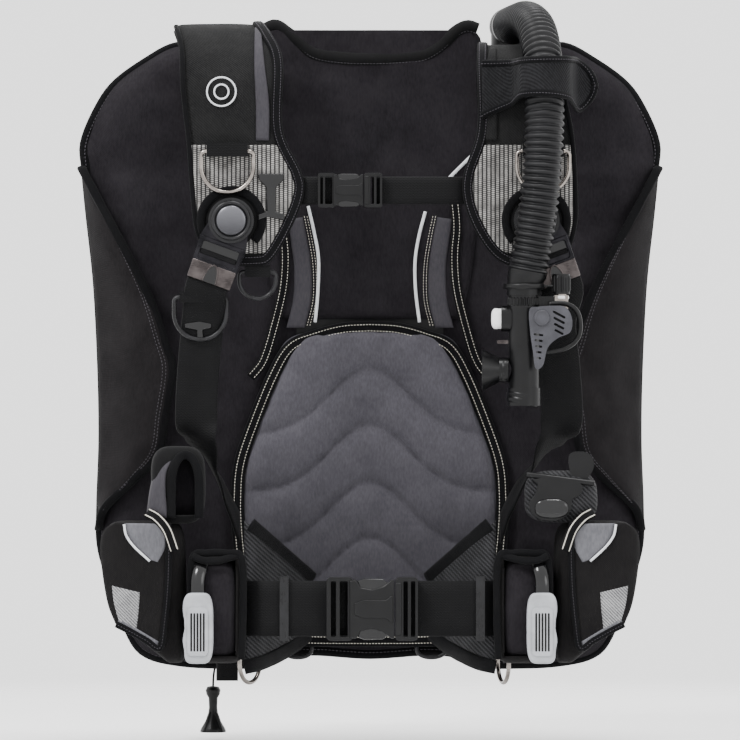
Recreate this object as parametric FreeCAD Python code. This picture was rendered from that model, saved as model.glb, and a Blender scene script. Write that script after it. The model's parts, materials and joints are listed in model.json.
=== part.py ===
import FreeCAD, Part
import math
import os

# Buoyancy compensator vest with back-mounted air cell.
# Millimetres. +Z up, -Y forward (away from the tank), -X is the wearer's right.
# The origin is on the tank's axis, at the middle of the tank band.

# ---- Driving dimensions ---------------------------------------------------
TANK_RADIUS = 92.0
BAND_WIDTH = 50.0
BAND_THICK = 2.5
SEW_GAP = 0.5            # between soft layers that are sewn or laid together
RUN_GAP = 0.06           # radial clearance of a turning fit
SLIDE_GAP = 0.5          # around a piece that slides
FAR = 400.0              # past the whole object, for cuts that go right through

# Layers behind the wearer, from the tank forward
CRADLE_HEIGHT = 160.0
CRADLE_HALF_WIDTH = 58.0
CRADLE_WRAP = 18.0          # how far the cradle reaches round the tank
PLATE_STAND = 14.5
PLATE_BACK_Y = -(TANK_RADIUS + PLATE_STAND)
PLATE_THICK = 5.5
CELL_CENTRE_THICK = 5.5
PAD_BACK_Y = PLATE_BACK_Y - PLATE_THICK - SEW_GAP
LUMBAR_THICK = 15.5
UPPER_PANEL_THICK = 7.5
COLLAR_DEPTH = 13.0

# Air cell
CELL_HALF_WIDTH = 272.0
CELL_FRONT_Y = PLATE_BACK_Y + SEW_GAP
CELL_SWELL = 33.0
CELL_REAR_Y = CELL_FRONT_Y + CELL_SWELL
CELL_TIP_REACH = 34.0
CELL_TIP_Y = CELL_FRONT_Y - CELL_TIP_REACH
CELL_OPENING_HALF_X = 62.0
CELL_OPENING_HALF_Z = 90.0
HEM_Z = -312.0
HEM_CENTRE_Z = -300.0
CELL_TOP_Z = 250.0
WING_LOBE_DEPTH = 26.0

# Shoulder pads
PAD_THICK = 13.0
PAD_REAR_Y = PAD_BACK_Y - UPPER_PANEL_THICK - 2 * SEW_GAP
PAD_REACH = 129.0           # from the back panel to the front of the chest
PAD_FRONT_Y = PAD_REAR_Y - PAD_REACH
PAD_BOTTOM_Z = 60.0
PAD_REAR_FOOT_Z = 205.0
PAD_REAR_STRAIGHT = 15.0
PAD_TOP_Z = {"right": 281.0, "left": 262.0}

# Swivel buckles
SWIVEL_Z = 99.5
SWIVEL_X = {"right": -125.0, "left": 150.0}
SWIVEL_TILT = 20.0
POST_RADIUS = 12.0
POST_FLANGE_RADIUS = 19.0
POST_CAP_RADIUS = 20.5
SWIVEL_PLATE_THICK = 5.0
SWIVEL_FRAME_WIDTH = 44.0
SWIVEL_FRAME_DROP = 60.0
SWIVEL_FRAME_WALL = 5.0
SWIVEL_SHOULDER_DROP = 22.0
SWIVEL_WINDOW_DROP = (36.0, 25.0)
SWIVEL_SLOT_RISE = (4.0, 9.0)
POST_FLANGE_THICK = 5.0
POST_CAP_THICK = 4.0

# Webbing
WEB_SHOULDER = 38.0
WEB_CHEST = 25.0
WEB_WAIST = 50.0
WEB_THICK = 2.2

# Rings
STEEL_WIRE = 2.0
RING_CLEAR = 0.4
CHEST_RING_WIDTH = 51.0
CHEST_RING_HEIGHT = 41.0
CHEST_RING_X = {"right": -128.5, "left": 156.0}
CHEST_RING_Z = 162.0
STRAP_RING_WIDTH = 51.0
STRAP_RING_HEIGHT = 42.0
PAD_RING_WIDTH = 37.0
PAD_RING_HEIGHT = 28.0
HEM_RING_WIDTH = 40.0
HEM_RING_HEIGHT = 30.0
LOOP_DEPTH = 9.2

# Chest strap and its buckle
CHEST_Z = 127.0
CHEST_WEB_Y = PAD_FRONT_Y + 5
CHEST_BUCKLE_HEIGHT = 31.0
CHEST_BUCKLE_DEPTH = 9.0
CHEST_SOCKET_X = (-47.0, -6.0)
CHEST_PLUG_END_X = 11.0
CHEST_WEB_RIGHT_X = (-60.0, -12.0)
CHEST_WEB_LEFT_X = (2.0, 84.0)
CHEST_SLEEVE_X = 63.0
CHEST_PRONG = 18.0
CHEST_WALL = 2.0

# T-shaped retaining clip on the right pad
CLIP_X = -89.0
CLIP_DEPTH = 5.0
CLIP_HEIGHTS = (100.0, 106.0, 136.0, 142.0)
CLIP_BAR_WIDTH = 24.0
CLIP_HOOK_WIDTH = 16.0
CLIP_STEM_WIDTH = 8.0

# Waist belt and its buckle
WAIST_Z = -249.0
WAIST_STAND = 30.5
WAIST_WEB_Y = PAD_FRONT_Y - WAIST_STAND
WAIST_BUCKLE_HEIGHT = 57.0
WAIST_BUCKLE_DEPTH = 14.0
WAIST_SOCKET_X = (-39.0, 22.0)
WAIST_PLUG_END_X = 43.0
WAIST_WEB_GATE_X = (-20.0, 25.0)
WAIST_PRONG = 31.0
WAIST_WALL = 3.0
WAIST_SLIDER_X = {"right": (-81.0, -73.0), "left": (95.0, 103.0)}
WAIST_SLIDER_WALL = 3.0

# Tank band's cam buckle, behind the band
CAM_PLATE_HALF_X = 30.0
CAM_PLATE_THICK = 3.0
CAM_CHEEK_X = (-30.0, -18.0)
CAM_CHEEK_HEIGHT = 5.0
CAM_CHEEK_DEPTH = 11.0
CAM_PIN_X = -24.0
CAM_PIN_STAND = 8.0
CAM_PIN_RADIUS = 2.0
CAM_EYE_RADIUS = 4.5
CAM_LEVER_END_X = 34.0

# Hip pockets and weight pouches (the wearer's left is +X)
CUMMER_X = 107.0
CUMMER_REAR_X = 64.0
CUMMER_THICK = 5.4
SLEEVE_X = (113.0, 161.0)
SLEEVE_DEPTH = 106.0
SLEEVE_FRONT_Y = WAIST_WEB_Y - 15.5
SLEEVE_Y = (SLEEVE_FRONT_Y, SLEEVE_FRONT_Y + SLEEVE_DEPTH)
SLEEVE_Z = (-299.0, -198.0)
SLEEVE_WALL = 2.5
POCKET_X = (166.0, 242.0)
POCKET_DEPTH = 110.0
POCKET_FRONT_Y = SLEEVE_FRONT_Y + 4
POCKET_Y = (POCKET_FRONT_Y, POCKET_FRONT_Y + POCKET_DEPTH)
POCKET_Z = (-299.0, -171.0)
POCKET_WALL = 3.0
POCKET_MOUTH_Z = -235.0
FLAP_THICK = 4.0
HANDLE_X = (140.0, 168.0)
HANDLE_Z = (-297.5, -234.0)
HANDLE_DEPTH = 14.0
HANDLE_CORNER = 9.0
HANDLE_GROOVES = 5
ARCH_X = (-199.0, -147.0)
ARCH_Z = (-169.5, -103.0)
ARCH_DEPTH = 40.0
ARCH_Y = (POCKET_FRONT_Y, POCKET_FRONT_Y + ARCH_DEPTH)
ARCH_WALL = 6.0
ADJUSTER_X = (138.0, 203.0)
ADJUSTER_Z = (-168.0, -130.0)
ADJUSTER_PIN_RADIUS = 2.5
ADJUSTER_CHEEK = 4.5
ADJUSTER_BLOCK = (4.0, 34.0)     # behind the pin's axis

# Inflator and hose
HOSE_RADIUS = 18.0
HOSE_ROUTE = [
    (131.0, -108.0, 283.0),
    (136.0, -140.0, 284.0),
    (144.0, -185.0, 285.0),
    (152.0, -230.0, 273.0),
    (156.0, -266.0, 241.0),
    (157.0, -284.0, 196.0),
    (155.0, -288.0, 150.0),
    (150.0, -287.0, 100.0),
    (141.5, -286.0, 54.0),
]
FLAP_CHANNEL = (156.5, -282.0)   # x, y of the hose where the retaining flap goes over it
FLAP_ROOM = 3.5
FLAP_SKIN = 3.0
FLAP_X = (102.0, 199.0)
FLAP_Z = (198.0, 245.0)
ELBOW_RADIUS = 16.0
ELBOW_X = 128.0
ELBOW_Y = -90.0
ELBOW_FOOT_Z = 262.5
INFLATOR_X = 138.0
INFLATOR_Y = -286.0
INFLATOR_RADIUS = 13.75
INFLATOR_Z = (-51.0, 32.0)
INFLATOR_END_Z = -67.0
CUFF_Z = 40.0
BUTTON_Z = 11.0
BUTTON_TRAVEL = 4.0
LEVER_PIVOT = (154.0, 12.0)
LEVER_THICK = 4.0
LEVER_PIN_RADIUS = 2.5
LEVER_BOSS_RADIUS = 7.0
MOUTH_Z = -35.0
MOUTH_LIP_X = 100.5
MOUTH_BORE_RADIUS = 8.0
MOUTH_NECK_RADIUS = 11.0
MOUTH_NECK_LENGTH = 8.0
MOUTH_LIP_RADIUS = 19.0
MOUTH_WALL = 3.0
NIPPLE_X = 171.5
NIPPLE_RADIUS = 4.5
NIPPLE_HALF_WIDTH = 6.0
NIPPLE_Z = (20.0, 32.0, 46.0)    # foot, shoulder and tip
CAP_RADIUS = 7.7
CAP_Z = (33.0, 51.0)
CAP_TOP_THICK = 4.0

# Dump valve, its cord and toggle
VALVE_X = -134.0
VALVE_Z = -262.0
VALVE_RADIUS = 24.0
VALVE_FLANGE_THICK = 4.0
VALVE_DOME_HEIGHT = 11.0
VALVE_DOME_RADIUS = 15.0
SPOUT_RADIUS = 4.5
SPOUT_END_Z = -296.0
CORD_RADIUS = 1.0
CORD_ROUTE = [
    (-140.0, -60.0, -282.0),
    (-140.0, -60.0, -301.0),
    (-146.0, -60.0, -315.0),
    (-146.0, -60.0, -329.0),
]
TOGGLE_LENGTH = 43.0
TOGGLE_NECK = 14.0
TOGGLE_WAIST = 30.0
TOGGLE_RADII = (4.0, 7.0, 13.0)
TOGGLE_NOTCH = (4.0, 7.0)        # across the foot, and up from its face


# ---- Shape helpers --------------------------------------------------------
def vec(x, y, z):
    return FreeCAD.Vector(x, y, z)


def face_of(points):
    return Part.Face(Part.makePolygon(points + [points[0]]))


def front_slab(outline, y_back, y_front):
    """A solid of the (x, z) outline between two depths."""
    face = face_of([vec(x, y_back, z) for x, z in outline])
    return face.extrude(vec(0, y_front - y_back, 0))


def plan_slab(outline, z_low, z_high):
    """A solid of the (x, y) outline between two heights."""
    face = face_of([vec(x, y, z_low) for x, y in outline])
    return face.extrude(vec(0, 0, z_high - z_low))


def side_slab(outline, x_low, x_high):
    """A solid of the (y, z) outline between two widths."""
    face = face_of([vec(x_low, y, z) for y, z in outline])
    return face.extrude(vec(x_high - x_low, 0, 0))


def box(x_range, y_range, z_range):
    corner = vec(min(x_range), min(y_range), min(z_range))
    size = [abs(r[1] - r[0]) for r in (x_range, y_range, z_range)]
    return Part.makeBox(size[0], size[1], size[2], corner)


def rod(start, end, radius):
    first = vec(*start)
    along = vec(*end) - first
    return Part.makeCylinder(radius, along.Length, first, along)


def cone(start, end, radius_start, radius_end):
    first = vec(*start)
    along = vec(*end) - first
    return Part.makeCone(radius_start, radius_end, along.Length, first, along)


def fuse(shapes):
    whole = shapes[0]
    for shape in shapes[1:]:
        whole = whole.fuse(shape)
    return whole.removeSplitter()


def mirrored(shape):
    return shape.mirror(vec(0, 0, 0), vec(1, 0, 0))


def both_ways(outline):
    """Close a half outline that starts and ends on the centre plane."""
    other = [(-x, v) for x, v in reversed(outline) if x != 0]
    return outline + other


def rounded_route(route, name):
    """Straight runs joined by tangent arcs, as large as the runs allow."""
    points = [vec(*p) for p in route]
    edges = []
    last = points[0]
    radii = []
    for before, corner, after in zip(points, points[1:], points[2:]):
        back = before - corner
        ahead = after - corner
        half_turn = (math.pi - back.getAngle(ahead)) / 2
        reach = 0.45 * min(back.Length, ahead.Length)
        radius = reach / math.tan(half_turn)
        radii.append(radius)
        back.normalize()
        ahead.normalize()
        start = corner + back * reach
        end = corner + ahead * reach
        inward = back + ahead
        inward.normalize()
        middle = corner + inward * (radius / math.cos(half_turn) - radius)
        edges.append(Part.LineSegment(last, start).toShape())
        edges.append(Part.Arc(start, middle, end).toShape())
        last = end
    edges.append(Part.LineSegment(last, points[-1]).toShape())
    print(name, "arc radii", [round(r, 1) for r in radii])
    return Part.Wire(edges)


def cord_tube(route, radius, name):
    spine = rounded_route(route, name)
    start = vec(*route[0])
    direction = vec(*route[1]) - start
    ring = Part.Wire(Part.makeCircle(radius, start, direction))
    tube = spine.makePipeShell([ring], True, False)
    expected = math.pi * radius ** 2 * spine.Length
    print(name, "length", round(spine.Length, 1), "volume ratio", round(tube.Volume / expected, 4))
    return tube


def d_ring(width, height, wire):
    """A D-ring in the XZ plane: its bar's middle at the origin, its bow hanging down."""
    corner = 2.0 * wire
    half = width / 2 - wire
    bow_z = -(height - 2 * wire - half)
    lean = math.sqrt(0.5)
    points = [
        vec(-half + corner, 0, 0), vec(half - corner, 0, 0),
        vec(half - corner + corner * lean, 0, -corner + corner * lean), vec(half, 0, -corner),
        vec(half, 0, bow_z), vec(0, 0, bow_z - half), vec(-half, 0, bow_z),
        vec(-half, 0, -corner), vec(-half + corner - corner * lean, 0, -corner + corner * lean),
    ]
    edges = [
        Part.LineSegment(points[0], points[1]).toShape(),
        Part.Arc(points[1], points[2], points[3]).toShape(),
        Part.LineSegment(points[3], points[4]).toShape(),
        Part.Arc(points[4], points[5], points[6]).toShape(),
        Part.LineSegment(points[6], points[7]).toShape(),
        Part.Arc(points[7], points[8], points[0]).toShape(),
    ]
    parts = []
    for edge in edges:
        start = edge.valueAt(edge.FirstParameter)
        along = edge.tangentAt(edge.FirstParameter)
        ring = Part.Wire(Part.makeCircle(wire, start, along))
        parts.append(Part.Wire([edge]).makePipeShell([ring], True, False))
    return fuse(parts)


def ring_loop(length, wire, depth, rise):
    """The sewn loop around a ring's bar, along X at the origin."""
    below = wire + RING_CLEAR + WEB_THICK
    block = box((-length / 2, length / 2), (-depth / 2, depth / 2), (-below, rise))
    hole = rod((-length, 0, 0), (length, 0, 0), wire + RING_CLEAR)
    return block.cut(hole)


def placed(shape, x, y, z, turn=0.0):
    """Turn a shape about Z through the origin, then move it."""
    copy = shape.copy()
    copy.rotate(vec(0, 0, 0), vec(0, 0, 1), turn)
    copy.translate(vec(x, y, z))
    return copy


# ---- Back: air cell, plate, band ------------------------------------------
def cell_outline():
    w = CELL_HALF_WIDTH
    top = CELL_TOP_Z
    half = [
        (0, top), (50, top), (100, top + 6), (150, top + 12), (w - 93, top + 17), (w - 65, top + 2),
        (w - 35, 230), (w - 18, 205), (w - 2, 175), (w - 5, 151), (w - 11, 109), (w - 19, 44),
        (w - 23, -35), (w - 23, -100), (w - 20, -181), (w - 21, -198), (w - 37, -244),
        (w - 51, HEM_Z + 24), (w - 65, HEM_Z + 9), (w - 97, HEM_Z + 2), (139, HEM_Z), (100, HEM_Z + 1),
        (79, HEM_CENTRE_Z + 1), (50, HEM_CENTRE_Z + 4), (0, HEM_CENTRE_Z),
    ]
    return both_ways(half)


def cell_front_line():
    return [(135, CELL_FRONT_Y), (CELL_HALF_WIDTH - 72, CELL_FRONT_Y - 6), (CELL_HALF_WIDTH, CELL_TIP_Y)]


def air_cell():
    centre_back = CELL_FRONT_Y + CELL_CENTRE_THICK
    front = [(0, CELL_FRONT_Y)] + cell_front_line()
    rear = [
        (CELL_HALF_WIDTH, CELL_TIP_Y + 15), (CELL_HALF_WIDTH - 27, CELL_REAR_Y - 22),
        (CELL_HALF_WIDTH - 67, CELL_REAR_Y - 7),
        (165, CELL_REAR_Y), (100, CELL_REAR_Y), (72, centre_back), (0, centre_back),
    ]
    section = both_ways(front + rear)
    body = plan_slab(section, HEM_Z - 1, 300)
    cell = body.common(front_slab(cell_outline(), 0, -300))
    opening = box((-CELL_OPENING_HALF_X, CELL_OPENING_HALF_X), (-200, 0),
                  (-CELL_OPENING_HALF_Z, CELL_OPENING_HALF_Z))
    return cell.cut(opening)


def wing_lobe():
    """The forward fold of the cell's left side."""
    front_line = cell_front_line()
    near = [(x, y - SEW_GAP) for x, y in front_line]
    tip = CELL_TIP_Y - WING_LOBE_DEPTH
    w = CELL_HALF_WIDTH
    far = [(w, tip + 8), (w - 14, tip), (w - 57, tip + 4), (w - 102, CELL_FRONT_Y - 12)]
    body = plan_slab(near + far, HEM_Z, 300)
    edge = [
        (w - 4, 153), (w - 41, 87), (w - 69, 33), (w - 84, -10), (w - 91, -35), (w - 84, -78),
        (w - 78, -111), (w - 56, -130), (w - 28, -162), (w - 21, -176), (w - 23, -100), (w - 23, -35),
        (w - 19, 44), (w - 11, 109),
    ]
    return body.common(front_slab(edge, 0, -300))


def backpack_plate():
    outline = both_ways([
        (0, 200), (45, 200), (70, 150), (88, 40), (92, -60), (80, -200), (55, -250), (0, -250),
    ])
    plate = front_slab(outline, PLATE_BACK_Y, PLATE_BACK_Y - PLATE_THICK)
    cradle_y = (PLATE_BACK_Y, CRADLE_WRAP - TANK_RADIUS)
    cradle = box((-CRADLE_HALF_WIDTH, CRADLE_HALF_WIDTH), cradle_y, (-CRADLE_HEIGHT / 2, CRADLE_HEIGHT / 2))
    tank = rod((0, 0, -300), (0, 0, 300), TANK_RADIUS)
    channel_half = BAND_WIDTH / 2 + 1.5
    channel_radius = TANK_RADIUS + BAND_THICK + SLIDE_GAP
    channel = rod((0, 0, -channel_half), (0, 0, channel_half), channel_radius)
    return fuse([plate, cradle]).cut(tank).cut(channel)


def tank_band():
    low = (0, 0, -BAND_WIDTH / 2)
    high = (0, 0, BAND_WIDTH / 2)
    return rod(low, high, TANK_RADIUS + BAND_THICK).cut(rod(low, high, TANK_RADIUS))


BUCKLE_Y = TANK_RADIUS + BAND_THICK + SEW_GAP
CAM_PIVOT = (CAM_PIN_X, BUCKLE_Y + CAM_PIN_STAND)


def cam_buckle_base():
    half = BAND_WIDTH / 2 + 1
    top = BUCKLE_Y + CAM_PLATE_THICK
    parts = [box((-CAM_PLATE_HALF_X, CAM_PLATE_HALF_X), (BUCKLE_Y, top), (-half, half))]
    for low, high in ((-half, -half + CAM_CHEEK_HEIGHT), (half - CAM_CHEEK_HEIGHT, half)):
        parts.append(box(CAM_CHEEK_X, (top, top + CAM_CHEEK_DEPTH), (low, high)))
    x, y = CAM_PIVOT
    parts.append(rod((x, y, -half), (x, y, half), CAM_PIN_RADIUS))
    return fuse(parts)


def cam_lever():
    x, y = CAM_PIVOT
    half = BAND_WIDTH / 2 + 1 - CAM_CHEEK_HEIGHT - SLIDE_GAP
    eye = rod((x, y, -half), (x, y, half), CAM_EYE_RADIUS)
    arm = box((x, CAM_LEVER_END_X), (y - 2.5, y + 3), (-half, half))
    bore = rod((x, y, -half - 1), (x, y, half + 1), CAM_PIN_RADIUS + RUN_GAP)
    return fuse([eye, arm]).cut(bore)


def carry_handle():
    outer = both_ways([(0, 262), (30, 256), (46, 238), (46, 196), (0, 196)])
    inner = both_ways([(0, 244), (22, 240), (30, 228), (30, 208), (0, 208)])
    back = CELL_FRONT_Y + CELL_CENTRE_THICK + SEW_GAP
    return front_slab(outer, back, back + 3).cut(front_slab(inner, back - 5, back + 5))


def dump_valve():
    y = CELL_REAR_Y + SEW_GAP
    seat_y = y + VALVE_FLANGE_THICK
    top_y = seat_y + VALVE_DOME_HEIGHT
    flange = rod((VALVE_X, y, VALVE_Z), (VALVE_X, seat_y, VALVE_Z), VALVE_RADIUS)
    dome = cone((VALVE_X, seat_y, VALVE_Z), (VALVE_X, top_y, VALVE_Z), VALVE_RADIUS - 3, VALVE_DOME_RADIUS)
    cord_x, cord_y, cord_top = CORD_ROUTE[0]
    spout = rod((cord_x, cord_y, SPOUT_END_Z), (cord_x, cord_y, VALVE_Z), SPOUT_RADIUS)
    bore = rod((cord_x, cord_y, SPOUT_END_Z - 4), (cord_x, cord_y, cord_top + 1), CORD_RADIUS + RING_CLEAR)
    return fuse([flange, dome, spout]).cut(bore)


def toggle():
    x, y, top = CORD_ROUTE[-1]
    low = top - TOGGLE_LENGTH
    neck_z = top - TOGGLE_NECK
    waist_z = top - TOGGLE_WAIST
    thin, middle, wide = TOGGLE_RADII
    across, deep = TOGGLE_NOTCH
    neck = rod((x, y, top), (x, y, neck_z), thin)
    waist = cone((x, y, neck_z), (x, y, waist_z), thin, middle)
    foot = cone((x, y, waist_z), (x, y, low), middle, wide)
    notch = box((x - across / 2, x + across / 2), (y - FAR, y + FAR), (low - 1, low + deep))
    return fuse([neck, waist, foot.cut(notch)])


# ---- Pads and panels --------------------------------------------------------
def collar():
    top_edge = [(0, 256), (50, 255), (66, 270), (80, 283), (99, 283)]
    under_edge = [(99, 274), (86, 273), (73, 262), (54, 246.5), (0, 246.5)]
    y_back = CELL_FRONT_Y - 2 * SEW_GAP
    return front_slab(both_ways(top_edge + under_edge), y_back, y_back - COLLAR_DEPTH)


def upper_back_panel():
    outline = both_ways([(0, 245.5), (62, 245.5), (96, 200), (104, 90), (96, 12), (0, 12)])
    return front_slab(outline, PAD_BACK_Y, PAD_BACK_Y - UPPER_PANEL_THICK)


def lumbar_pad():
    outline = both_ways([
        (0, 10), (45, 6), (84, -4), (115, -95), (127, -148), (127, -165), (85, -270),
        (60, -286), (0, -288),
    ])
    return front_slab(outline, PAD_BACK_Y, PAD_BACK_Y - LUMBAR_THICK)


PAD_OUTLINES = {
    "right": [
        (-179, 275), (-172, 256), (-170, 216), (-165, 172), (-161, 119), (-157, 90),
        (-146, 70), (-128, PAD_BOTTOM_Z), (-104, PAD_BOTTOM_Z), (-88, 68), (-71, 97),
        (-61, 118), (-61, 128), (-63, 142), (-80, 181), (-80, 243), (-90, 268), (-102, 285),
    ],
    "left": [
        (179, 275), (172, 256), (176, 216), (184, 172), (187, 119), (186, 95),
        (178, 72), (158, PAD_BOTTOM_Z), (132, PAD_BOTTOM_Z), (112, 70), (96, 92),
        (86, 118), (86, 142), (98, 181), (98, 243), (100, 268), (102, 285),
    ],
}


def shoulder_pad(side):
    top = PAD_TOP_Z[side]
    inner_front = PAD_FRONT_Y + PAD_THICK
    inner_rear = PAD_REAR_Y - PAD_THICK
    middle_y = (PAD_FRONT_Y + PAD_REAR_Y) / 2
    foot = PAD_REAR_FOOT_Z
    crown_foot = foot + PAD_REAR_STRAIGHT

    def at(y, z):
        return vec(-FAR, y, z)

    edges = [
        Part.LineSegment(at(PAD_REAR_Y, foot), at(PAD_REAR_Y, crown_foot)).toShape(),
        Part.Arc(at(PAD_REAR_Y, crown_foot), at(middle_y, top), at(PAD_FRONT_Y, foot)).toShape(),
        Part.LineSegment(at(PAD_FRONT_Y, foot), at(PAD_FRONT_Y, PAD_BOTTOM_Z)).toShape(),
        Part.LineSegment(at(PAD_FRONT_Y, PAD_BOTTOM_Z), at(inner_front, PAD_BOTTOM_Z)).toShape(),
        Part.LineSegment(at(inner_front, PAD_BOTTOM_Z), at(inner_front, foot)).toShape(),
        Part.Arc(at(inner_front, foot), at(middle_y, top - PAD_THICK),
                 at(inner_rear, crown_foot)).toShape(),
        Part.LineSegment(at(inner_rear, crown_foot), at(inner_rear, foot)).toShape(),
        Part.LineSegment(at(inner_rear, foot), at(PAD_REAR_Y, foot)).toShape(),
    ]
    strip = Part.Face(Part.Wire(edges)).extrude(vec(2 * FAR, 0, 0))
    return strip.common(front_slab(PAD_OUTLINES[side], 0, -FAR))


def hose_flap():
    channel_x, centre_y = FLAP_CHANNEL
    inner = HOSE_RADIUS + FLAP_ROOM
    outer = inner + FLAP_SKIN
    low, high = FLAP_Z
    foot_y = PAD_FRONT_Y - SEW_GAP
    arch = rod((channel_x, centre_y, low), (channel_x, centre_y, high), outer)
    legs = box((channel_x - outer, channel_x + outer), (centre_y, foot_y), (low, high))
    room = rod((channel_x, centre_y, low - 1), (channel_x, centre_y, high + 1), inner)
    gap = box((channel_x - inner, channel_x + inner), (centre_y, foot_y + 1), (low - 1, high + 1))
    wings = [
        box((FLAP_X[0], channel_x - inner), (foot_y - FLAP_SKIN, foot_y), (low, high)),
        box((channel_x + inner, FLAP_X[1]), (foot_y - FLAP_SKIN, foot_y), (low, high)),
    ]
    return fuse([arch, legs] + wings).cut(room).cut(gap)


# ---- Swivel buckles, rings and straps ---------------------------------------
FLANGE_Y = PAD_FRONT_Y - SEW_GAP
EYE_BACK_Y = FLANGE_Y - POST_FLANGE_THICK - SLIDE_GAP
EYE_FRONT_Y = EYE_BACK_Y - SWIVEL_PLATE_THICK
POST_CAP_Y = EYE_FRONT_Y - SLIDE_GAP


def swivel_post(side):
    x = SWIVEL_X[side]
    seat_y = FLANGE_Y - POST_FLANGE_THICK
    flange = rod((x, FLANGE_Y, SWIVEL_Z), (x, seat_y, SWIVEL_Z), POST_FLANGE_RADIUS)
    post = rod((x, seat_y, SWIVEL_Z), (x, POST_CAP_Y, SWIVEL_Z), POST_RADIUS)
    cap = rod((x, POST_CAP_Y, SWIVEL_Z), (x, POST_CAP_Y - POST_CAP_THICK, SWIVEL_Z), POST_CAP_RADIUS)
    return fuse([flange, post, cap])


def swivel_frame(side):
    x = SWIVEL_X[side]
    half = SWIVEL_FRAME_WIDTH / 2
    low = SWIVEL_Z - SWIVEL_FRAME_DROP
    eye = rod((x, EYE_BACK_Y, SWIVEL_Z), (x, EYE_FRONT_Y, SWIVEL_Z), POST_FLANGE_RADIUS)
    shoulder = SWIVEL_Z - SWIVEL_SHOULDER_DROP
    eye_half = POST_FLANGE_RADIUS - 2
    outline = [
        (x - eye_half, SWIVEL_Z), (x + eye_half, SWIVEL_Z), (x + half, shoulder),
        (x + half - 2, low), (x - half + 2, low), (x - half, shoulder),
    ]
    frame = front_slab(outline, EYE_BACK_Y, EYE_FRONT_Y)
    bore = rod((x, 0, SWIVEL_Z), (x, -FAR, SWIVEL_Z), POST_RADIUS + RUN_GAP)
    inner = (x - half + SWIVEL_FRAME_WALL, x + half - SWIVEL_FRAME_WALL)
    window = box(inner, (0, -FAR), [SWIVEL_Z - drop for drop in SWIVEL_WINDOW_DROP])
    slot = box(inner, (0, -FAR), [low + rise for rise in SWIVEL_SLOT_RISE])
    whole = fuse([eye, frame]).cut(bore).cut(window).cut(slot)
    tilt = SWIVEL_TILT if side == "right" else -SWIVEL_TILT
    whole.rotate(vec(x, 0, SWIVEL_Z), vec(0, 1, 0), tilt)
    return whole


def shoulder_strap(side):
    """Webbing from below the swivel buckle to the side of the waist; y is from the pad's front."""
    sign = -1 if side == "right" else 1
    out = 0 if side == "right" else 16
    stations = [
        ((148 + out, 5, 30), (1, 0, 0)),
        ((155 + out, 5, -35), (1, 0, 0)),
        ((157 + out, 7, -80), (1, 0, 0.1)),
        ((153 + out * 0.7, 14, -100), (0.8, 0.55, 0.25)),
        ((145 + out * 0.4, 30, -120), (0.35, 0.8, 0.5)),
        ((131, 66, -152), (0.1, 0.75, 0.66)),
        ((120, 98, -180), (0, 0.7, 0.7)),
    ]
    centres = [vec(sign * p[0], PAD_FRONT_Y + p[1], p[2]) for p, _ in stations]
    sections = []
    for number, (_, across) in enumerate(stations):
        before = centres[max(number - 1, 0)]
        after = centres[min(number + 1, len(centres) - 1)]
        run = after - before
        run.normalize()
        width = vec(sign * across[0], across[1], across[2])
        width = width - run * width.dot(run)
        width.normalize()
        normal = run.cross(width)
        half_w = width * (WEB_SHOULDER / 2)
        half_t = normal * (WEB_THICK / 2)
        c = centres[number]
        corners = [c + half_w + half_t, c - half_w + half_t, c - half_w - half_t, c + half_w - half_t]
        sections.append(Part.makePolygon(corners + [corners[0]]))
    return Part.makeLoft(sections, True, True)


RING_FRONT_Y = PAD_FRONT_Y - 6.0
STRAP_RING_POS = (-153.0, PAD_FRONT_Y - 1.5, 30.5)
PAD_RING_POS = (-101.5, PAD_FRONT_Y + 6, 53.5)
HEM_RING_Y = SLEEVE_Y[1] + 28
HEM_RING_POS = {"right": (-110.0, HEM_RING_Y, -295.0), "left": (122.0, HEM_RING_Y, -295.0)}
HEM_RING_TURN = {"right": 60.0, "left": 105.0}


def ring_nodes():
    chest = d_ring(CHEST_RING_WIDTH, CHEST_RING_HEIGHT, STEEL_WIRE)
    strap = d_ring(STRAP_RING_WIDTH, STRAP_RING_HEIGHT, STEEL_WIRE)
    pad = d_ring(PAD_RING_WIDTH, PAD_RING_HEIGHT, STEEL_WIRE)
    hem = d_ring(HEM_RING_WIDTH, HEM_RING_HEIGHT, STEEL_WIRE)
    chest_depth = 2 * (abs(RING_FRONT_Y - PAD_FRONT_Y) - SEW_GAP)
    nodes = {}
    loops = []
    for side in ("right", "left"):
        place = (CHEST_RING_X[side], RING_FRONT_Y, CHEST_RING_Z)
        nodes["chest_ring_" + side] = placed(chest, *place)
        loop = ring_loop(CHEST_RING_WIDTH - 14, STEEL_WIRE, chest_depth, 8)
        loops.append(placed(loop, *place))
        hem_place = HEM_RING_POS[side]
        turn = HEM_RING_TURN[side]
        nodes["hem_ring_" + side] = placed(hem, *hem_place, turn)
        loop = ring_loop(HEM_RING_WIDTH - 16, STEEL_WIRE, LOOP_DEPTH, 4.5)
        loops.append(placed(loop, *hem_place, turn))
    nodes["strap_ring"] = placed(strap, *STRAP_RING_POS)
    loops.append(placed(ring_loop(STRAP_RING_WIDTH - 14, STEEL_WIRE, LOOP_DEPTH, 6), *STRAP_RING_POS))
    nodes["pad_ring"] = placed(pad, *PAD_RING_POS)
    loops.append(placed(ring_loop(PAD_RING_WIDTH - 14, STEEL_WIRE, LOOP_DEPTH, 6), *PAD_RING_POS))
    nodes["ring_loops"] = Part.makeCompound(loops)
    return nodes


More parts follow.
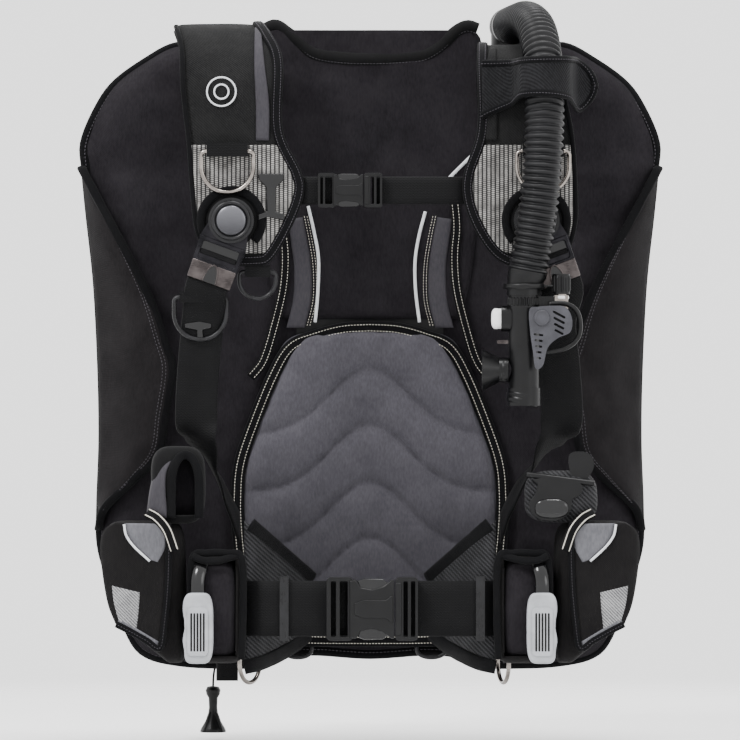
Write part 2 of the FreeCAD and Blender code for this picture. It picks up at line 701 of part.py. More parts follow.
def retainer_clip():
    back = PAD_FRONT_Y - SEW_GAP
    depth = (back, back - CLIP_DEPTH)
    low, foot, neck, high = CLIP_HEIGHTS

    def across(width):
        return (CLIP_X - width / 2, CLIP_X + width / 2)

    stem = box(across(CLIP_STEM_WIDTH), depth, (low, neck))
    bar = box(across(CLIP_BAR_WIDTH), depth, (neck, high))
    hook = box(across(CLIP_HOOK_WIDTH), depth, (low, foot))
    return fuse([stem, bar, hook])


# ---- Chest and waist buckles --------------------------------------------------
def buckle(socket_x, plug_end_x, centre_z, height, depth, web_front_y, overlap, wall):
    """A side-release buckle in front of its webbing: the socket and the plug."""
    back = web_front_y - SLIDE_GAP
    front = back - depth
    half = height / 2
    gate = socket_x[1]
    socket = box(socket_x, (back, front), (centre_z - half, centre_z + half))
    deep = gate - overlap - 3
    cavity = box((deep, gate + 1), (back - wall, front + wall),
                 (centre_z - half + wall, centre_z + half - wall))
    mid = (deep + gate) / 2
    for sign in (-1, 1):
        press = box((mid - 6, mid + 6), (back + 1, front - 1),
                    (centre_z + sign * (half + 1), centre_z + sign * (half - wall - 1)))
        socket = socket.cut(press)
    slot = box((socket_x[0] + wall, socket_x[0] + 2.5 * wall), (back + 1, front - 1),
               (centre_z - half + wall, centre_z + half - wall))
    socket = socket.cut(cavity).cut(slot)
    prong_y = (back - wall - SLIDE_GAP, front + wall + SLIDE_GAP)
    reach = gate - overlap
    start = gate + SLIDE_GAP
    parts = [box((start, plug_end_x), (back, front), (centre_z - half, centre_z + half))]
    prong_high = half - wall - SLIDE_GAP - 1
    prong_thick = 0.16 * height
    for sign in (-1, 1):
        parts.append(box((reach, start), prong_y,
                         (centre_z + sign * prong_high, centre_z + sign * (prong_high - prong_thick))))
    parts.append(box((reach + 6, start), prong_y, (centre_z - 2, centre_z + 2)))
    plug = fuse(parts)
    bar = plug_end_x - wall
    plug_slot = box((bar - 1.5 * wall, bar), (back + 1, front - 1),
                    (centre_z - half + wall, centre_z + half - wall))
    return socket, plug.cut(plug_slot)


def chest_webbing():
    front = CHEST_WEB_Y - WEB_THICK
    z_range = (CHEST_Z - WEB_CHEST / 2, CHEST_Z + WEB_CHEST / 2)
    right = box(CHEST_WEB_RIGHT_X, (CHEST_WEB_Y, front), z_range)
    left = box(CHEST_WEB_LEFT_X, (CHEST_WEB_Y, front), z_range)
    sleeve = box((CHEST_SLEEVE_X, CHEST_WEB_LEFT_X[1]), (CHEST_WEB_Y + 2, front - 2),
                 (z_range[0] - 2, z_range[1] + 2))
    return Part.makeCompound([right, fuse([left, sleeve])])


def waist_webbing():
    front = WAIST_WEB_Y - WEB_THICK
    z_range = (WAIST_Z - WEB_WAIST / 2, WAIST_Z + WEB_WAIST / 2)
    end = CUMMER_X + CUMMER_THICK
    right = box((-end, WAIST_WEB_GATE_X[0]), (WAIST_WEB_Y, front), z_range)
    left = box((WAIST_WEB_GATE_X[1], end), (WAIST_WEB_Y, front), z_range)
    return Part.makeCompound([right, left])


def waist_slider(side):
    front = WAIST_WEB_Y - WEB_THICK
    wall = WAIST_SLIDER_WALL
    half = WEB_WAIST / 2 + 1
    x_range = WAIST_SLIDER_X[side]
    hole_y = (WAIST_WEB_Y + SLIDE_GAP, front - SLIDE_GAP)
    outer = box(x_range, (hole_y[0] + wall, hole_y[1] - wall),
                (WAIST_Z - half - wall, WAIST_Z + half + wall))
    hole = box((x_range[0] - 1, x_range[1] + 1), hole_y, (WAIST_Z - half, WAIST_Z + half))
    return outer.cut(hole)


# ---- Hips ---------------------------------------------------------------------
def cummerbund():
    """The left side band, from the lumbar pad round the hip to the belt."""
    rear = PAD_BACK_Y - LUMBAR_THICK - 1
    front = WAIST_WEB_Y + 1
    inner = CUMMER_X
    outer = CUMMER_X + CUMMER_THICK
    plan = [
        (CUMMER_REAR_X, rear), (128, rear), (128, rear - 7), (CUMMER_REAR_X + 10, rear - 7),
        (outer, front), (inner, front),
    ]
    side = [
        (rear, -184), (-200, -205), (front, WAIST_Z + WEB_WAIST / 2 + 2),
        (front, WAIST_Z - WEB_WAIST / 2 - 2), (-200, -284), (rear, -289),
    ]
    return plan_slab(plan, -300, -150).common(side_slab(side, 0, 200))


def pouch_sleeve():
    outer = box(SLEEVE_X, SLEEVE_Y, SLEEVE_Z)
    wall = SLEEVE_WALL
    room = box((SLEEVE_X[0] + wall, SLEEVE_X[1] - wall), (SLEEVE_Y[0] - 1, SLEEVE_Y[1] - wall),
               (SLEEVE_Z[0] + wall, SLEEVE_Z[1] - wall))
    return outer.cut(room)


def weight_pouch():
    inset = SLEEVE_WALL + SLIDE_GAP
    return box((SLEEVE_X[0] + inset, SLEEVE_X[1] - inset), (SLEEVE_Y[0] - 1, SLEEVE_Y[1] - inset - 4),
               (SLEEVE_Z[0] + inset, SLEEVE_Z[1] - inset))


def weight_handle():
    back = SLEEVE_Y[0] - 1
    front = back - HANDLE_DEPTH
    block = box(HANDLE_X, (back, front), HANDLE_Z)
    upright = [e for e in block.Edges if abs(e.tangentAt(0).y) > 0.9]
    block = block.makeFillet(HANDLE_CORNER, upright)
    width = HANDLE_X[1] - HANDLE_X[0]
    for number in range(HANDLE_GROOVES):
        x = HANDLE_X[0] + width * (number + 1) / (HANDLE_GROOVES + 1)
        groove = box((x - 1, x + 1), (front - 1, front + 2), (HANDLE_Z[0] + 9, HANDLE_Z[1] - 20))
        block = block.cut(groove)
    return block


def pocket():
    outer = box(POCKET_X, POCKET_Y, POCKET_Z)
    wall = POCKET_WALL
    inner_x = (POCKET_X[0] + wall, POCKET_X[1] - wall)
    room = box(inner_x, (POCKET_Y[0] + wall, POCKET_Y[1] - wall), (POCKET_Z[0] + wall, POCKET_Z[1] - wall))
    mouth = box(inner_x, (POCKET_Y[0] - 1, POCKET_Y[0] + wall + 1), (POCKET_MOUTH_Z, POCKET_Z[1] - wall))
    return outer.cut(room).cut(mouth)


def pocket_flap():
    back = POCKET_Y[0] - 1
    top = POCKET_Z[1] - 0.5
    outline = [
        (POCKET_X[1], top - 12), (POCKET_X[1] - 12, top), (POCKET_X[0] + 14, top),
        (POCKET_X[0] + 22, -283), (POCKET_X[1] - 14, -262), (POCKET_X[1] - 2, -200),
    ]
    return front_slab(outline, back, back - FLAP_THICK)


def hip_arch():
    middle = (ARCH_X[0] + ARCH_X[1]) / 2
    half = (ARCH_X[1] - ARCH_X[0]) / 2
    spring_z = ARCH_Z[1] - half
    back, front = ARCH_Y[1], ARCH_Y[0]

    def tunnel(radius, y_from, y_to, base):
        crown = rod((middle, y_from, spring_z), (middle, y_to, spring_z), radius)
        legs = box((middle - radius, middle + radius), (y_from, y_to), (base, spring_z))
        return fuse([crown, legs])

    outer = tunnel(half, back, front, ARCH_Z[0])
    return outer.cut(tunnel(half - ARCH_WALL, back + 1, front - 1, ARCH_Z[0] + ARCH_WALL))


ADJUSTER_PIN = (POCKET_FRONT_Y + 3, ADJUSTER_Z[1])


def adjuster_base():
    y, z = ADJUSTER_PIN
    near, far = ADJUSTER_BLOCK
    left, right = ADJUSTER_X
    parts = [box(ADJUSTER_X, (y + near, y + far), (POCKET_Z[1] + 1.5, z + 5))]
    for low, high in ((left, left + ADJUSTER_CHEEK), (right - ADJUSTER_CHEEK, right)):
        parts.append(box((low, high), (y + near, y - 4.5), (z - 5, z + 5)))
    bore = rod((ADJUSTER_X[0] - 1, y, z), (ADJUSTER_X[1] + 1, y, z), ADJUSTER_PIN_RADIUS + RUN_GAP)
    return fuse(parts).cut(bore)


def strap_adjuster():
    y, z = ADJUSTER_PIN
    pin = rod((ADJUSTER_X[0], y, z), (ADJUSTER_X[1], y, z), ADJUSTER_PIN_RADIUS)
    plate = box((ADJUSTER_X[0] + 6, ADJUSTER_X[1] - 6), (y - 2.5, y + 2.5), (ADJUSTER_Z[0], z))
    window = box((ADJUSTER_X[0] + 12, ADJUSTER_X[1] - 12), (y - 5, y + 5), (z - 16, z - 8))
    return fuse([pin, plate]).cut(window)


# ---- Inflator -------------------------------------------------------------------
def hose_elbow():
    top = HOSE_ROUTE[0][2]
    foot = rod((ELBOW_X, ELBOW_Y, ELBOW_FOOT_Z), (ELBOW_X, ELBOW_Y, top), ELBOW_RADIUS)
    outlet = rod((ELBOW_X, ELBOW_Y, top), HOSE_ROUTE[0], ELBOW_RADIUS)
    corner = Part.makeSphere(ELBOW_RADIUS + 1.5, vec(ELBOW_X, ELBOW_Y, top))
    start = vec(*HOSE_ROUTE[0])
    ahead = vec(*HOSE_ROUTE[1]) - start
    ahead.normalize()
    mouth = Part.makeCylinder(HOSE_RADIUS, 6, start - ahead * 6, ahead)
    return fuse([foot, corner, outlet.cut(Part.makeCylinder(60, 60, start, ahead)), mouth])


def hose_cuff():
    end = vec(*HOSE_ROUTE[-1])
    ahead = end - vec(*HOSE_ROUTE[-2])
    ahead.normalize()
    seat = Part.makeCylinder(HOSE_RADIUS - 0.5, 4, end, ahead)
    taper = Part.makeLoft([
        Part.Wire(Part.makeCircle(HOSE_RADIUS - 0.5, end + ahead * 4, ahead)),
        Part.Wire(Part.makeCircle(INFLATOR_RADIUS + 1.5, vec(INFLATOR_X, INFLATOR_Y, CUFF_Z), vec(0, 0, -1))),
    ], True, True)
    collar_ring = rod((INFLATOR_X, INFLATOR_Y, CUFF_Z), (INFLATOR_X, INFLATOR_Y, INFLATOR_Z[1]),
                      INFLATOR_RADIUS + 1.5)
    return fuse([seat, taper, collar_ring])


BUTTON_SIZE = (11.0, 18.0)
BUTTON_X = (111.5, 129.0)


def oval_bar(x_range, centre_z, width, height):
    """A bar along X with an upright oval section."""
    radius = width / 2
    straight = height / 2 - radius
    y = INFLATOR_Y
    parts = [box(x_range, (y - radius, y + radius), (centre_z - straight, centre_z + straight))]
    for sign in (-1, 1):
        z = centre_z + sign * straight
        parts.append(rod((x_range[0], y, z), (x_range[1], y, z), radius))
    return fuse(parts)


def inflator_body():
    x, y = INFLATOR_X, INFLATOR_Y
    low, high = INFLATOR_Z
    tube = rod((x, y, low), (x, y, high), INFLATOR_RADIUS)
    end = rod((x, y, INFLATOR_END_Z), (x, y, low), INFLATOR_RADIUS + 1.2)
    pivot_x, pivot_z = LEVER_PIVOT
    lug = box((x + 5, pivot_x + 5), (y - 9, y + 9), (pivot_z - 8, pivot_z + 8))
    pin = rod((pivot_x, y - 9, pivot_z), (pivot_x, y - 20, pivot_z), LEVER_PIN_RADIUS)
    guard = oval_bar((BUTTON_X[0] + 6, x), BUTTON_Z, BUTTON_SIZE[0] + 5, BUTTON_SIZE[1] + 5)
    arm = box((x + 5, NIPPLE_X - NIPPLE_HALF_WIDTH), (y - 5, y + 5), (NIPPLE_Z[0] + 2, NIPPLE_Z[1] - 1))
    room = oval_bar((BUTTON_X[0] - 1, BUTTON_X[1] + BUTTON_TRAVEL + 1), BUTTON_Z,
                    BUTTON_SIZE[0] + 2 * RUN_GAP, BUTTON_SIZE[1] + 2 * RUN_GAP)
    bore = rod((x - 40, y, MOUTH_Z), (x, y, MOUTH_Z), MOUTH_BORE_RADIUS)
    return fuse([tube, end, lug, pin, guard, arm]).cut(room).cut(bore)


def mouthpiece():
    y = INFLATOR_Y
    face = INFLATOR_X - INFLATOR_RADIUS - 0.5
    lip = MOUTH_LIP_X
    neck_x = face - MOUTH_NECK_LENGTH
    neck = rod((face, y, MOUTH_Z), (neck_x, y, MOUTH_Z), MOUTH_NECK_RADIUS)
    flare = cone((neck_x, y, MOUTH_Z), (lip, y, MOUTH_Z), MOUTH_NECK_RADIUS, MOUTH_LIP_RADIUS)
    hollow = cone((neck_x, y, MOUTH_Z), (lip - 0.01, y, MOUTH_Z), MOUTH_BORE_RADIUS,
                  MOUTH_LIP_RADIUS - MOUTH_WALL)
    bore = rod((face + 1, y, MOUTH_Z), (lip - 1, y, MOUTH_Z), MOUTH_BORE_RADIUS)
    return fuse([neck, flare]).cut(hollow).cut(bore)


def deflate_button():
    return oval_bar(BUTTON_X, BUTTON_Z, BUTTON_SIZE[0], BUTTON_SIZE[1])


def inflate_lever():
    x, z = LEVER_PIVOT
    back = INFLATOR_Y - INFLATOR_RADIUS - 1.5
    front = back - LEVER_THICK
    boss = rod((x, back, z), (x, front, z), LEVER_BOSS_RADIUS)
    outline = [
        (x - 5, z + 5), (x + 10, z + 9), (x + 27, z + 2), (x + 24, z - 16), (x + 8, z - 30),
        (x - 1, z - 45), (x - 7, z - 44), (x - 5, z - 20),
    ]
    blade = front_slab(outline, back, front)
    bore = rod((x, 0, z), (x, -FAR, z), LEVER_PIN_RADIUS + RUN_GAP)
    slots = [box((x + 8 + 4 * n, x + 10 + 4 * n), (0, -FAR), (z - 12 + n, z + n)) for n in range(4)]
    whole = fuse([boss, blade]).cut(bore)
    for slot in slots:
        whole = whole.cut(slot)
    return whole


def inlet_nipple():
    y = INFLATOR_Y
    half = NIPPLE_HALF_WIDTH
    low, shoulder, tip = NIPPLE_Z
    base = box((NIPPLE_X - half, NIPPLE_X + half), (y - half, y + half), (low, shoulder))
    stem = rod((NIPPLE_X, y, shoulder), (NIPPLE_X, y, tip), NIPPLE_RADIUS)
    return fuse([base, stem])


def dust_cap():
    y = INFLATOR_Y
    low, high = CAP_Z
    body = rod((NIPPLE_X, y, low), (NIPPLE_X, y, high), CAP_RADIUS)
    bore = rod((NIPPLE_X, y, low - 1), (NIPPLE_X, y, high - CAP_TOP_THICK), NIPPLE_RADIUS + RUN_GAP)
    return body.cut(bore)


# ---- All nodes --------------------------------------------------------------------
def build():
    nodes = {
        "air_cell": air_cell(),
        "backpack_plate": backpack_plate(),
        "tank_band": tank_band(),
        "cam_buckle_base": cam_buckle_base(),
        "cam_lever": cam_lever(),
        "carry_handle": carry_handle(),
        "collar": collar(),
        "upper_back_panel": upper_back_panel(),
        "lumbar_pad": lumbar_pad(),
        "hose_flap": hose_flap(),
        "swivel_posts": Part.makeCompound([swivel_post("right"), swivel_post("left")]),
        "chest_webbing": chest_webbing(),
        "waist_webbing": waist_webbing(),
        "retainer_clip": retainer_clip(),
        "hip_sleeves": Part.makeCompound([hip_arch(), adjuster_base()]),
        "strap_adjuster": strap_adjuster(),
        "dump_valve": dump_valve(),
        "dump_cord": cord_tube(CORD_ROUTE, CORD_RADIUS, "dump_cord"),
        "dump_toggle": toggle(),
        "hose_elbow": hose_elbow(),
        "corrugated_hose": cord_tube(HOSE_ROUTE, HOSE_RADIUS, "corrugated_hose"),
        "hose_cuff": hose_cuff(),
        "inflator_body": inflator_body(),
        "mouthpiece": mouthpiece(),
        "deflate_button": deflate_button(),
        "inflate_lever": inflate_lever(),
        "inlet_nipple": inlet_nipple(),
        "dust_cap": dust_cap(),
    }
    sleeves = []
    for side in ("right", "left"):
        nodes["shoulder_pad_" + side] = shoulder_pad(side)
        nodes["swivel_frame_" + side] = swivel_frame(side)
        nodes["shoulder_strap_" + side] = shoulder_strap(side)
        nodes["waist_slider_" + side] = waist_slider(side)
        turn = mirrored if side == "right" else (lambda shape: shape)
        nodes["wing_flap_" + side] = turn(wing_lobe())
        nodes["cummerbund_" + side] = turn(cummerbund())
        nodes["pocket_" + side] = turn(pocket())
        nodes["pocket_flap_" + side] = turn(pocket_flap())
        nodes["weight_pouch_" + side] = turn(weight_pouch())
        nodes["weight_handle_" + side] = turn(weight_handle())
        sleeves.append(turn(pouch_sleeve()))
    nodes["pouch_sleeves"] = Part.makeCompound(sleeves)
    nodes["chest_socket"], nodes["chest_plug"] = buckle(
        CHEST_SOCKET_X, CHEST_PLUG_END_X, CHEST_Z, CHEST_BUCKLE_HEIGHT, CHEST_BUCKLE_DEPTH,
        CHEST_WEB_Y - WEB_THICK, CHEST_PRONG, CHEST_WALL)
    nodes["waist_socket"], nodes["waist_plug"] = buckle(
        WAIST_SOCKET_X, WAIST_PLUG_END_X, WAIST_Z, WAIST_BUCKLE_HEIGHT, WAIST_BUCKLE_DEPTH,
        WAIST_WEB_Y - WEB_THICK, WAIST_PRONG, WAIST_WALL)
    nodes.update(ring_nodes())
    return nodes


os.makedirs("parts", exist_ok=True)
for name, shape in sorted(build().items()):
    if not shape.isValid() or not shape.Solids:
        print("CHECK", name, "valid", shape.isValid(), "solids", len(shape.Solids))
    shape.exportStep("parts/" + name + ".step")
    print(name, len(shape.Solids), "solids", round(shape.Volume / 1000, 1), "cm3")
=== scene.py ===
import json
import math
import bmesh
import bpy
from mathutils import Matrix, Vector, noise


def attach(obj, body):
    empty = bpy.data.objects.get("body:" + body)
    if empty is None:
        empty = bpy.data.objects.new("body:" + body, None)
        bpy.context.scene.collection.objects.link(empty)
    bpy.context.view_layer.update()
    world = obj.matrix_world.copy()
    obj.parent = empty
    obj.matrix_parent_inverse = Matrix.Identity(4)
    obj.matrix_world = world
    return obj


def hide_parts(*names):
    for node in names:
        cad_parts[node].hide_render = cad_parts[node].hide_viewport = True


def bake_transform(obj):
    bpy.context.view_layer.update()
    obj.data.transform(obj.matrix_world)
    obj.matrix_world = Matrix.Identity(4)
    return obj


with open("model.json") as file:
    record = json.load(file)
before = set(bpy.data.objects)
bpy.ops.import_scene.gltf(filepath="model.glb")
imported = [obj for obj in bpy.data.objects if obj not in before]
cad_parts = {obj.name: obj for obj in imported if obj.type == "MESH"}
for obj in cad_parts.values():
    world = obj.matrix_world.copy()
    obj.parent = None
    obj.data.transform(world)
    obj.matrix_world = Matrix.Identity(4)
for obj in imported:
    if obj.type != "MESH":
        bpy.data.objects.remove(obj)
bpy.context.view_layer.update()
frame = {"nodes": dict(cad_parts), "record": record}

# The vest stands as it hangs on its tank: +Z up, the wearer's front towards -Y, the wearer's left at +X.
# Lengths in this script are millimetres, and become metres where a mesh is made.
MM = 0.001
TURN = 2 * math.pi
FORWARD, BACKWARD, UPWARD = Vector((0, -1, 0)), Vector((0, 1, 0)), Vector((0, 0, 1))
SIDES = (("right", -1), ("left", 1))
ROOT = "harness"


# ---- Small tools ---------------------------------------------------------------
def cad_box_mm(node, side=0):
    """A CAD node's lowest and highest corner in mm, or only those of its half on that side of the middle."""
    points = [v.co / MM for v in frame["nodes"][node].data.vertices if v.co.x * side >= 0]
    return (Vector([min(p[axis] for p in points) for axis in range(3)]),
            Vector([max(p[axis] for p in points) for axis in range(3)]))


def lerp(a, b, t):
    return a + (b - a) * t


def ease(t):
    t = min(max(t, 0.0), 1.0)
    return t * t * (3 - 2 * t)


def wobble(x, y, z, scale, seed=0.0):
    """Smooth noise from -1 to 1 with features about `scale` mm across."""
    return noise.noise(Vector((x / scale + seed, y / scale - seed, z / scale + 2 * seed)))


def spread(points, step, closed=False):
    """Points about `step` apart along the smooth curve through given points."""
    pts = [Vector(p) for p in points]
    count = len(pts)
    dense = []
    spans = count if closed else count - 1
    for i in range(spans):
        if closed:
            p0, p1, p2, p3 = (pts[(i + k) % count] for k in (-1, 0, 1, 2))
        else:
            p1, p2 = pts[i], pts[i + 1]
            p0 = pts[i - 1] if i else p1 * 2 - p2
            p3 = pts[i + 2] if i + 2 < count else p2 * 2 - p1
        pieces = max(2, int((p2 - p1).length / (step * 0.3)))
        for k in range(pieces):
            t = k / pieces
            dense.append(0.5 * (2 * p1 + (p2 - p0) * t + (2 * p0 - 5 * p1 + 4 * p2 - p3) * t * t
                                + (3 * p1 - p0 - 3 * p2 + p3) * t ** 3))
    dense.append(pts[0].copy() if closed else pts[-1].copy())
    return even(dense, step, closed)


def even(points, step=None, closed=False, count=None):
    """The same polyline with evenly spaced points."""
    lengths = [0.0]
    for a, b in zip(points, points[1:]):
        lengths.append(lengths[-1] + (b - a).length)
    total = lengths[-1]
    parts = count - 1 if count else max(1, round(total / step))
    out = []
    index = 0
    for k in range(parts + (0 if closed else 1)):
        target = total * k / parts
        while index < len(lengths) - 2 and lengths[index + 1] < target:
            index += 1
        span = lengths[index + 1] - lengths[index]
        t = (target - lengths[index]) / span if span > 0 else 0
        out.append(points[index].lerp(points[index + 1], t))
    return out


def mesh_of(name, points, faces):
    """A mesh from points in millimetres, with its faces turned outwards."""
    mesh = bpy.data.meshes.new(name)
    mesh.from_pydata([Vector(p) * MM for p in points], [], faces)
    work = bmesh.new()
    work.from_mesh(mesh)
    bmesh.ops.recalc_face_normals(work, faces=work.faces)
    work.to_mesh(mesh)
    work.free()
    return mesh


def welded(mesh, distance=0.02):
    """The mesh with points that are nearer than that many mm made one, and stray points taken away."""
    work = bmesh.new()
    work.from_mesh(mesh)
    bmesh.ops.remove_doubles(work, verts=work.verts, dist=distance * MM)
    bmesh.ops.delete(work, geom=[v for v in work.verts if not v.link_faces], context="VERTS")
    work.to_mesh(mesh)
    work.free()
    return mesh


def shell_faces(rows, columns):
    """Faces of a closed shell of two layers, each with its points row by row."""
    layer_size = rows * columns
    faces = []
    for layer in (0, layer_size):
        for j in range(rows - 1):
            for i in range(columns - 1):
                a = layer + j * columns + i
                faces.append((a, a + 1, a + columns + 1, a + columns))
    edge = [j * columns for j in range(rows)] + [(rows - 1) * columns + i for i in range(1, columns)]
    edge += [j * columns + columns - 1 for j in range(rows - 2, -1, -1)] + list(range(columns - 2, 0, -1))
    for a, b in zip(edge, edge[1:] + edge[:1]):
        faces.append((a, b, b + layer_size, a + layer_size))
    return faces


def run_at(path, i):
    """The direction of the path at its point i."""
    return (path[min(i + 1, len(path) - 1)] - path[max(i - 1, 0)]).normalized()


def join_meshes(name, meshes):
    """One mesh of several."""
    work = bmesh.new()
    for mesh in meshes:
        work.from_mesh(mesh)
        bpy.data.meshes.remove(mesh)
    whole = bpy.data.meshes.new(name)
    work.to_mesh(whole)
    work.free()
    return whole


def sweep(name, path, ups, profile, closed=False, scales=None):
    """A bar along the path. Its profile lists (across, up) in mm, ups the direction of up at each point."""
    points, faces = [], []
    count, sides = len(path), len(profile)
    for i, place in enumerate(path):
        run = (path[(i + 1) % count] - path[i - 1]).normalized() if closed else run_at(path, i)
        up = ups[i] if isinstance(ups, list) else ups
        up = (up - run * up.dot(run)).normalized()
        across = run.cross(up)
        size = scales[i] if scales else 1.0
        for a, u in profile:
            points.append(place + across * (a * size) + up * (u * size))
    for i in range(count if closed else count - 1):
        here, there = i * sides, ((i + 1) % count) * sides
        for k in range(sides):
            m = (k + 1) % sides
            faces.append((here + k, here + m, there + m, there + k))
    if not closed:
        faces.append(tuple(range(sides)))
        faces.append(tuple((count - 1) * sides + k for k in range(sides)))
    return mesh_of(name, points, faces)


def round_profile(radius, sides=12):
    return [(radius * math.cos(TURN * k / sides), radius * math.sin(TURN * k / sides)) for k in range(sides)]


def strap_profile(width, thick, edge=0.45):
    """Flat webbing: slightly crowned, with rounded edges."""
    half, t = width / 2, thick / 2
    in_edge = half - edge * thick
    top = [(half, 0), (in_edge, t * 0.85), (half * 0.5, t), (0, t), (-half * 0.5, t), (-in_edge, t * 0.85)]
    return top + [(-a, -u) for a, u in top]


def turned(name, centre, axis, rings, sides=40):
    """A turned part: rings of (distance along the axis, radius) in mm."""
    axis = Vector(axis).normalized()
    start = UPWARD if abs(axis.z) < 0.9 else Vector((1, 0, 0))
    u = (start - axis * start.dot(axis)).normalized()
    v = axis.cross(u)
    points, faces = [], []
    for along, radius in rings:
        for k in range(sides):
            angle = TURN * k / sides
            r = max(radius, 0.01)
            points.append(Vector(centre) + axis * along + (u * math.cos(angle) + v * math.sin(angle)) * r)
    for i in range(len(rings) - 1):
        for k in range(sides):
            m = (k + 1) % sides
            faces.append((i * sides + k, i * sides + m, (i + 1) * sides + m, (i + 1) * sides + k))
    faces.append(tuple(range(sides)))
    faces.append(tuple((len(rings) - 1) * sides + k for k in range(sides)))
    return mesh_of(name, points, faces)


def bevelled(piece, width, segments=3, angle=35):
    bevel = piece.modifiers.new("soft_edges", "BEVEL")
    bevel.width = width * MM
    bevel.segments = segments
    bevel.limit_method = "ANGLE"
    bevel.angle_limit = math.radians(angle)
    piece.modifiers.new("shade", "WEIGHTED_NORMAL")
    return piece


def slab(name, outline, y_back, y_front, holes=()):
    """A plate with its (x, z) outline seen from the front, with holes through it."""
    mesh = bpy.data.meshes.new(name)
    work = bmesh.new()
    loops = [outline] + list(holes)
    edges = []
    for loop in loops:
        verts = [work.verts.new((x * MM, y_back * MM, z * MM)) for x, z in loop]
        edges += [work.edges.new((verts[i], verts[(i + 1) % len(verts)])) for i in range(len(verts))]
    bmesh.ops.triangle_fill(work, edges=edges, use_beauty=True, use_dissolve=False)
    faces = list(work.faces)
    moved = bmesh.ops.extrude_face_region(work, geom=faces)
    shifted = [g for g in moved["geom"] if isinstance(g, bmesh.types.BMVert)]
    bmesh.ops.translate(work, verts=shifted, vec=(0, (y_front - y_back) * MM, 0))
    bmesh.ops.recalc_face_normals(work, faces=work.faces)
    flat = [f for f in work.faces if abs(f.normal.y) > 0.99]
    flat_verts = list({v for f in flat for v in f.verts})
    flat_edges = list({e for f in flat for e in f.edges})
    bmesh.ops.dissolve_limit(work, angle_limit=math.radians(1), verts=flat_verts, edges=flat_edges)
    work.to_mesh(mesh)
    work.free()
    return mesh


def rounded_box_outline(x_range, z_range, radius, steps=5):
    """An (x, z) rectangle with round corners."""
    (x0, x1), (z0, z1) = sorted(x_range), sorted(z_range)
    out = []
    for cx, cz, first in ((x1 - radius, z1 - radius, 0), (x0 + radius, z1 - radius, 90),
                          (x0 + radius, z0 + radius, 180), (x1 - radius, z0 + radius, 270)):
        for k in range(steps + 1):
            angle = math.radians(first + 90 * k / steps)
            out.append((cx + radius * math.cos(angle), cz + radius * math.sin(angle)))
    return out


def turned_about(points, centre, degrees):
    """Outline points turned in the front view, clockwise from +Z to -X for a positive angle."""
    c, s = math.cos(math.radians(degrees)), math.sin(math.radians(degrees))
    cx, cz = centre
    return [(cx + (x - cx) * c + (z - cz) * s, cz - (x - cx) * s + (z - cz) * c) for x, z in points]


# ---- Finishes ------------------------------------------------------------------
class Socket:
    """A socket of a shader's graph. Sums on it add Math nodes."""

    def __init__(self, finish, output):
        self.finish, self.output = finish, output

    def sum(self, operation, *values):
        return self.finish.node("ShaderNodeMath", {"operation": operation}, *values)

    def __add__(self, other):
        return self.sum("ADD", self, other)

    def __sub__(self, other):
        return self.sum("SUBTRACT", self, other)

    def __rsub__(self, other):
        return self.sum("SUBTRACT", other, self)

    def __mul__(self, other):
        return self.sum("MULTIPLY", self, other)

    def __truediv__(self, other):
        return self.sum("DIVIDE", self, other)

    __radd__, __rmul__ = __add__, __mul__

    def sin(self):
        return self.sum("SINE", self)

    def abs(self):
        return self.sum("ABSOLUTE", self)

    def wrap(self):
        return self.sum("FRACT", self)

    def above(self, edge, soft):
        """0 below the edge, 1 above it, over a width of `soft`."""
        return self.finish.node("ShaderNodeMapRange", {"interpolation_type": "SMOOTHSTEP"},
                                self, edge - soft / 2, edge + soft / 2, 0.0, 1.0)


def srgb(red, green=None, blue=None):
    """A colour given as it shows on a screen, 0 to 255, in the shader's own linear numbers."""
    green = red if green is None else green
    blue = red if blue is None else blue
    linear = [((c / 255 + 0.055) / 1.055) ** 2.4 if c > 10 else c / 255 / 12.92 for c in (red, green, blue)]
    return (*linear, 1.0)


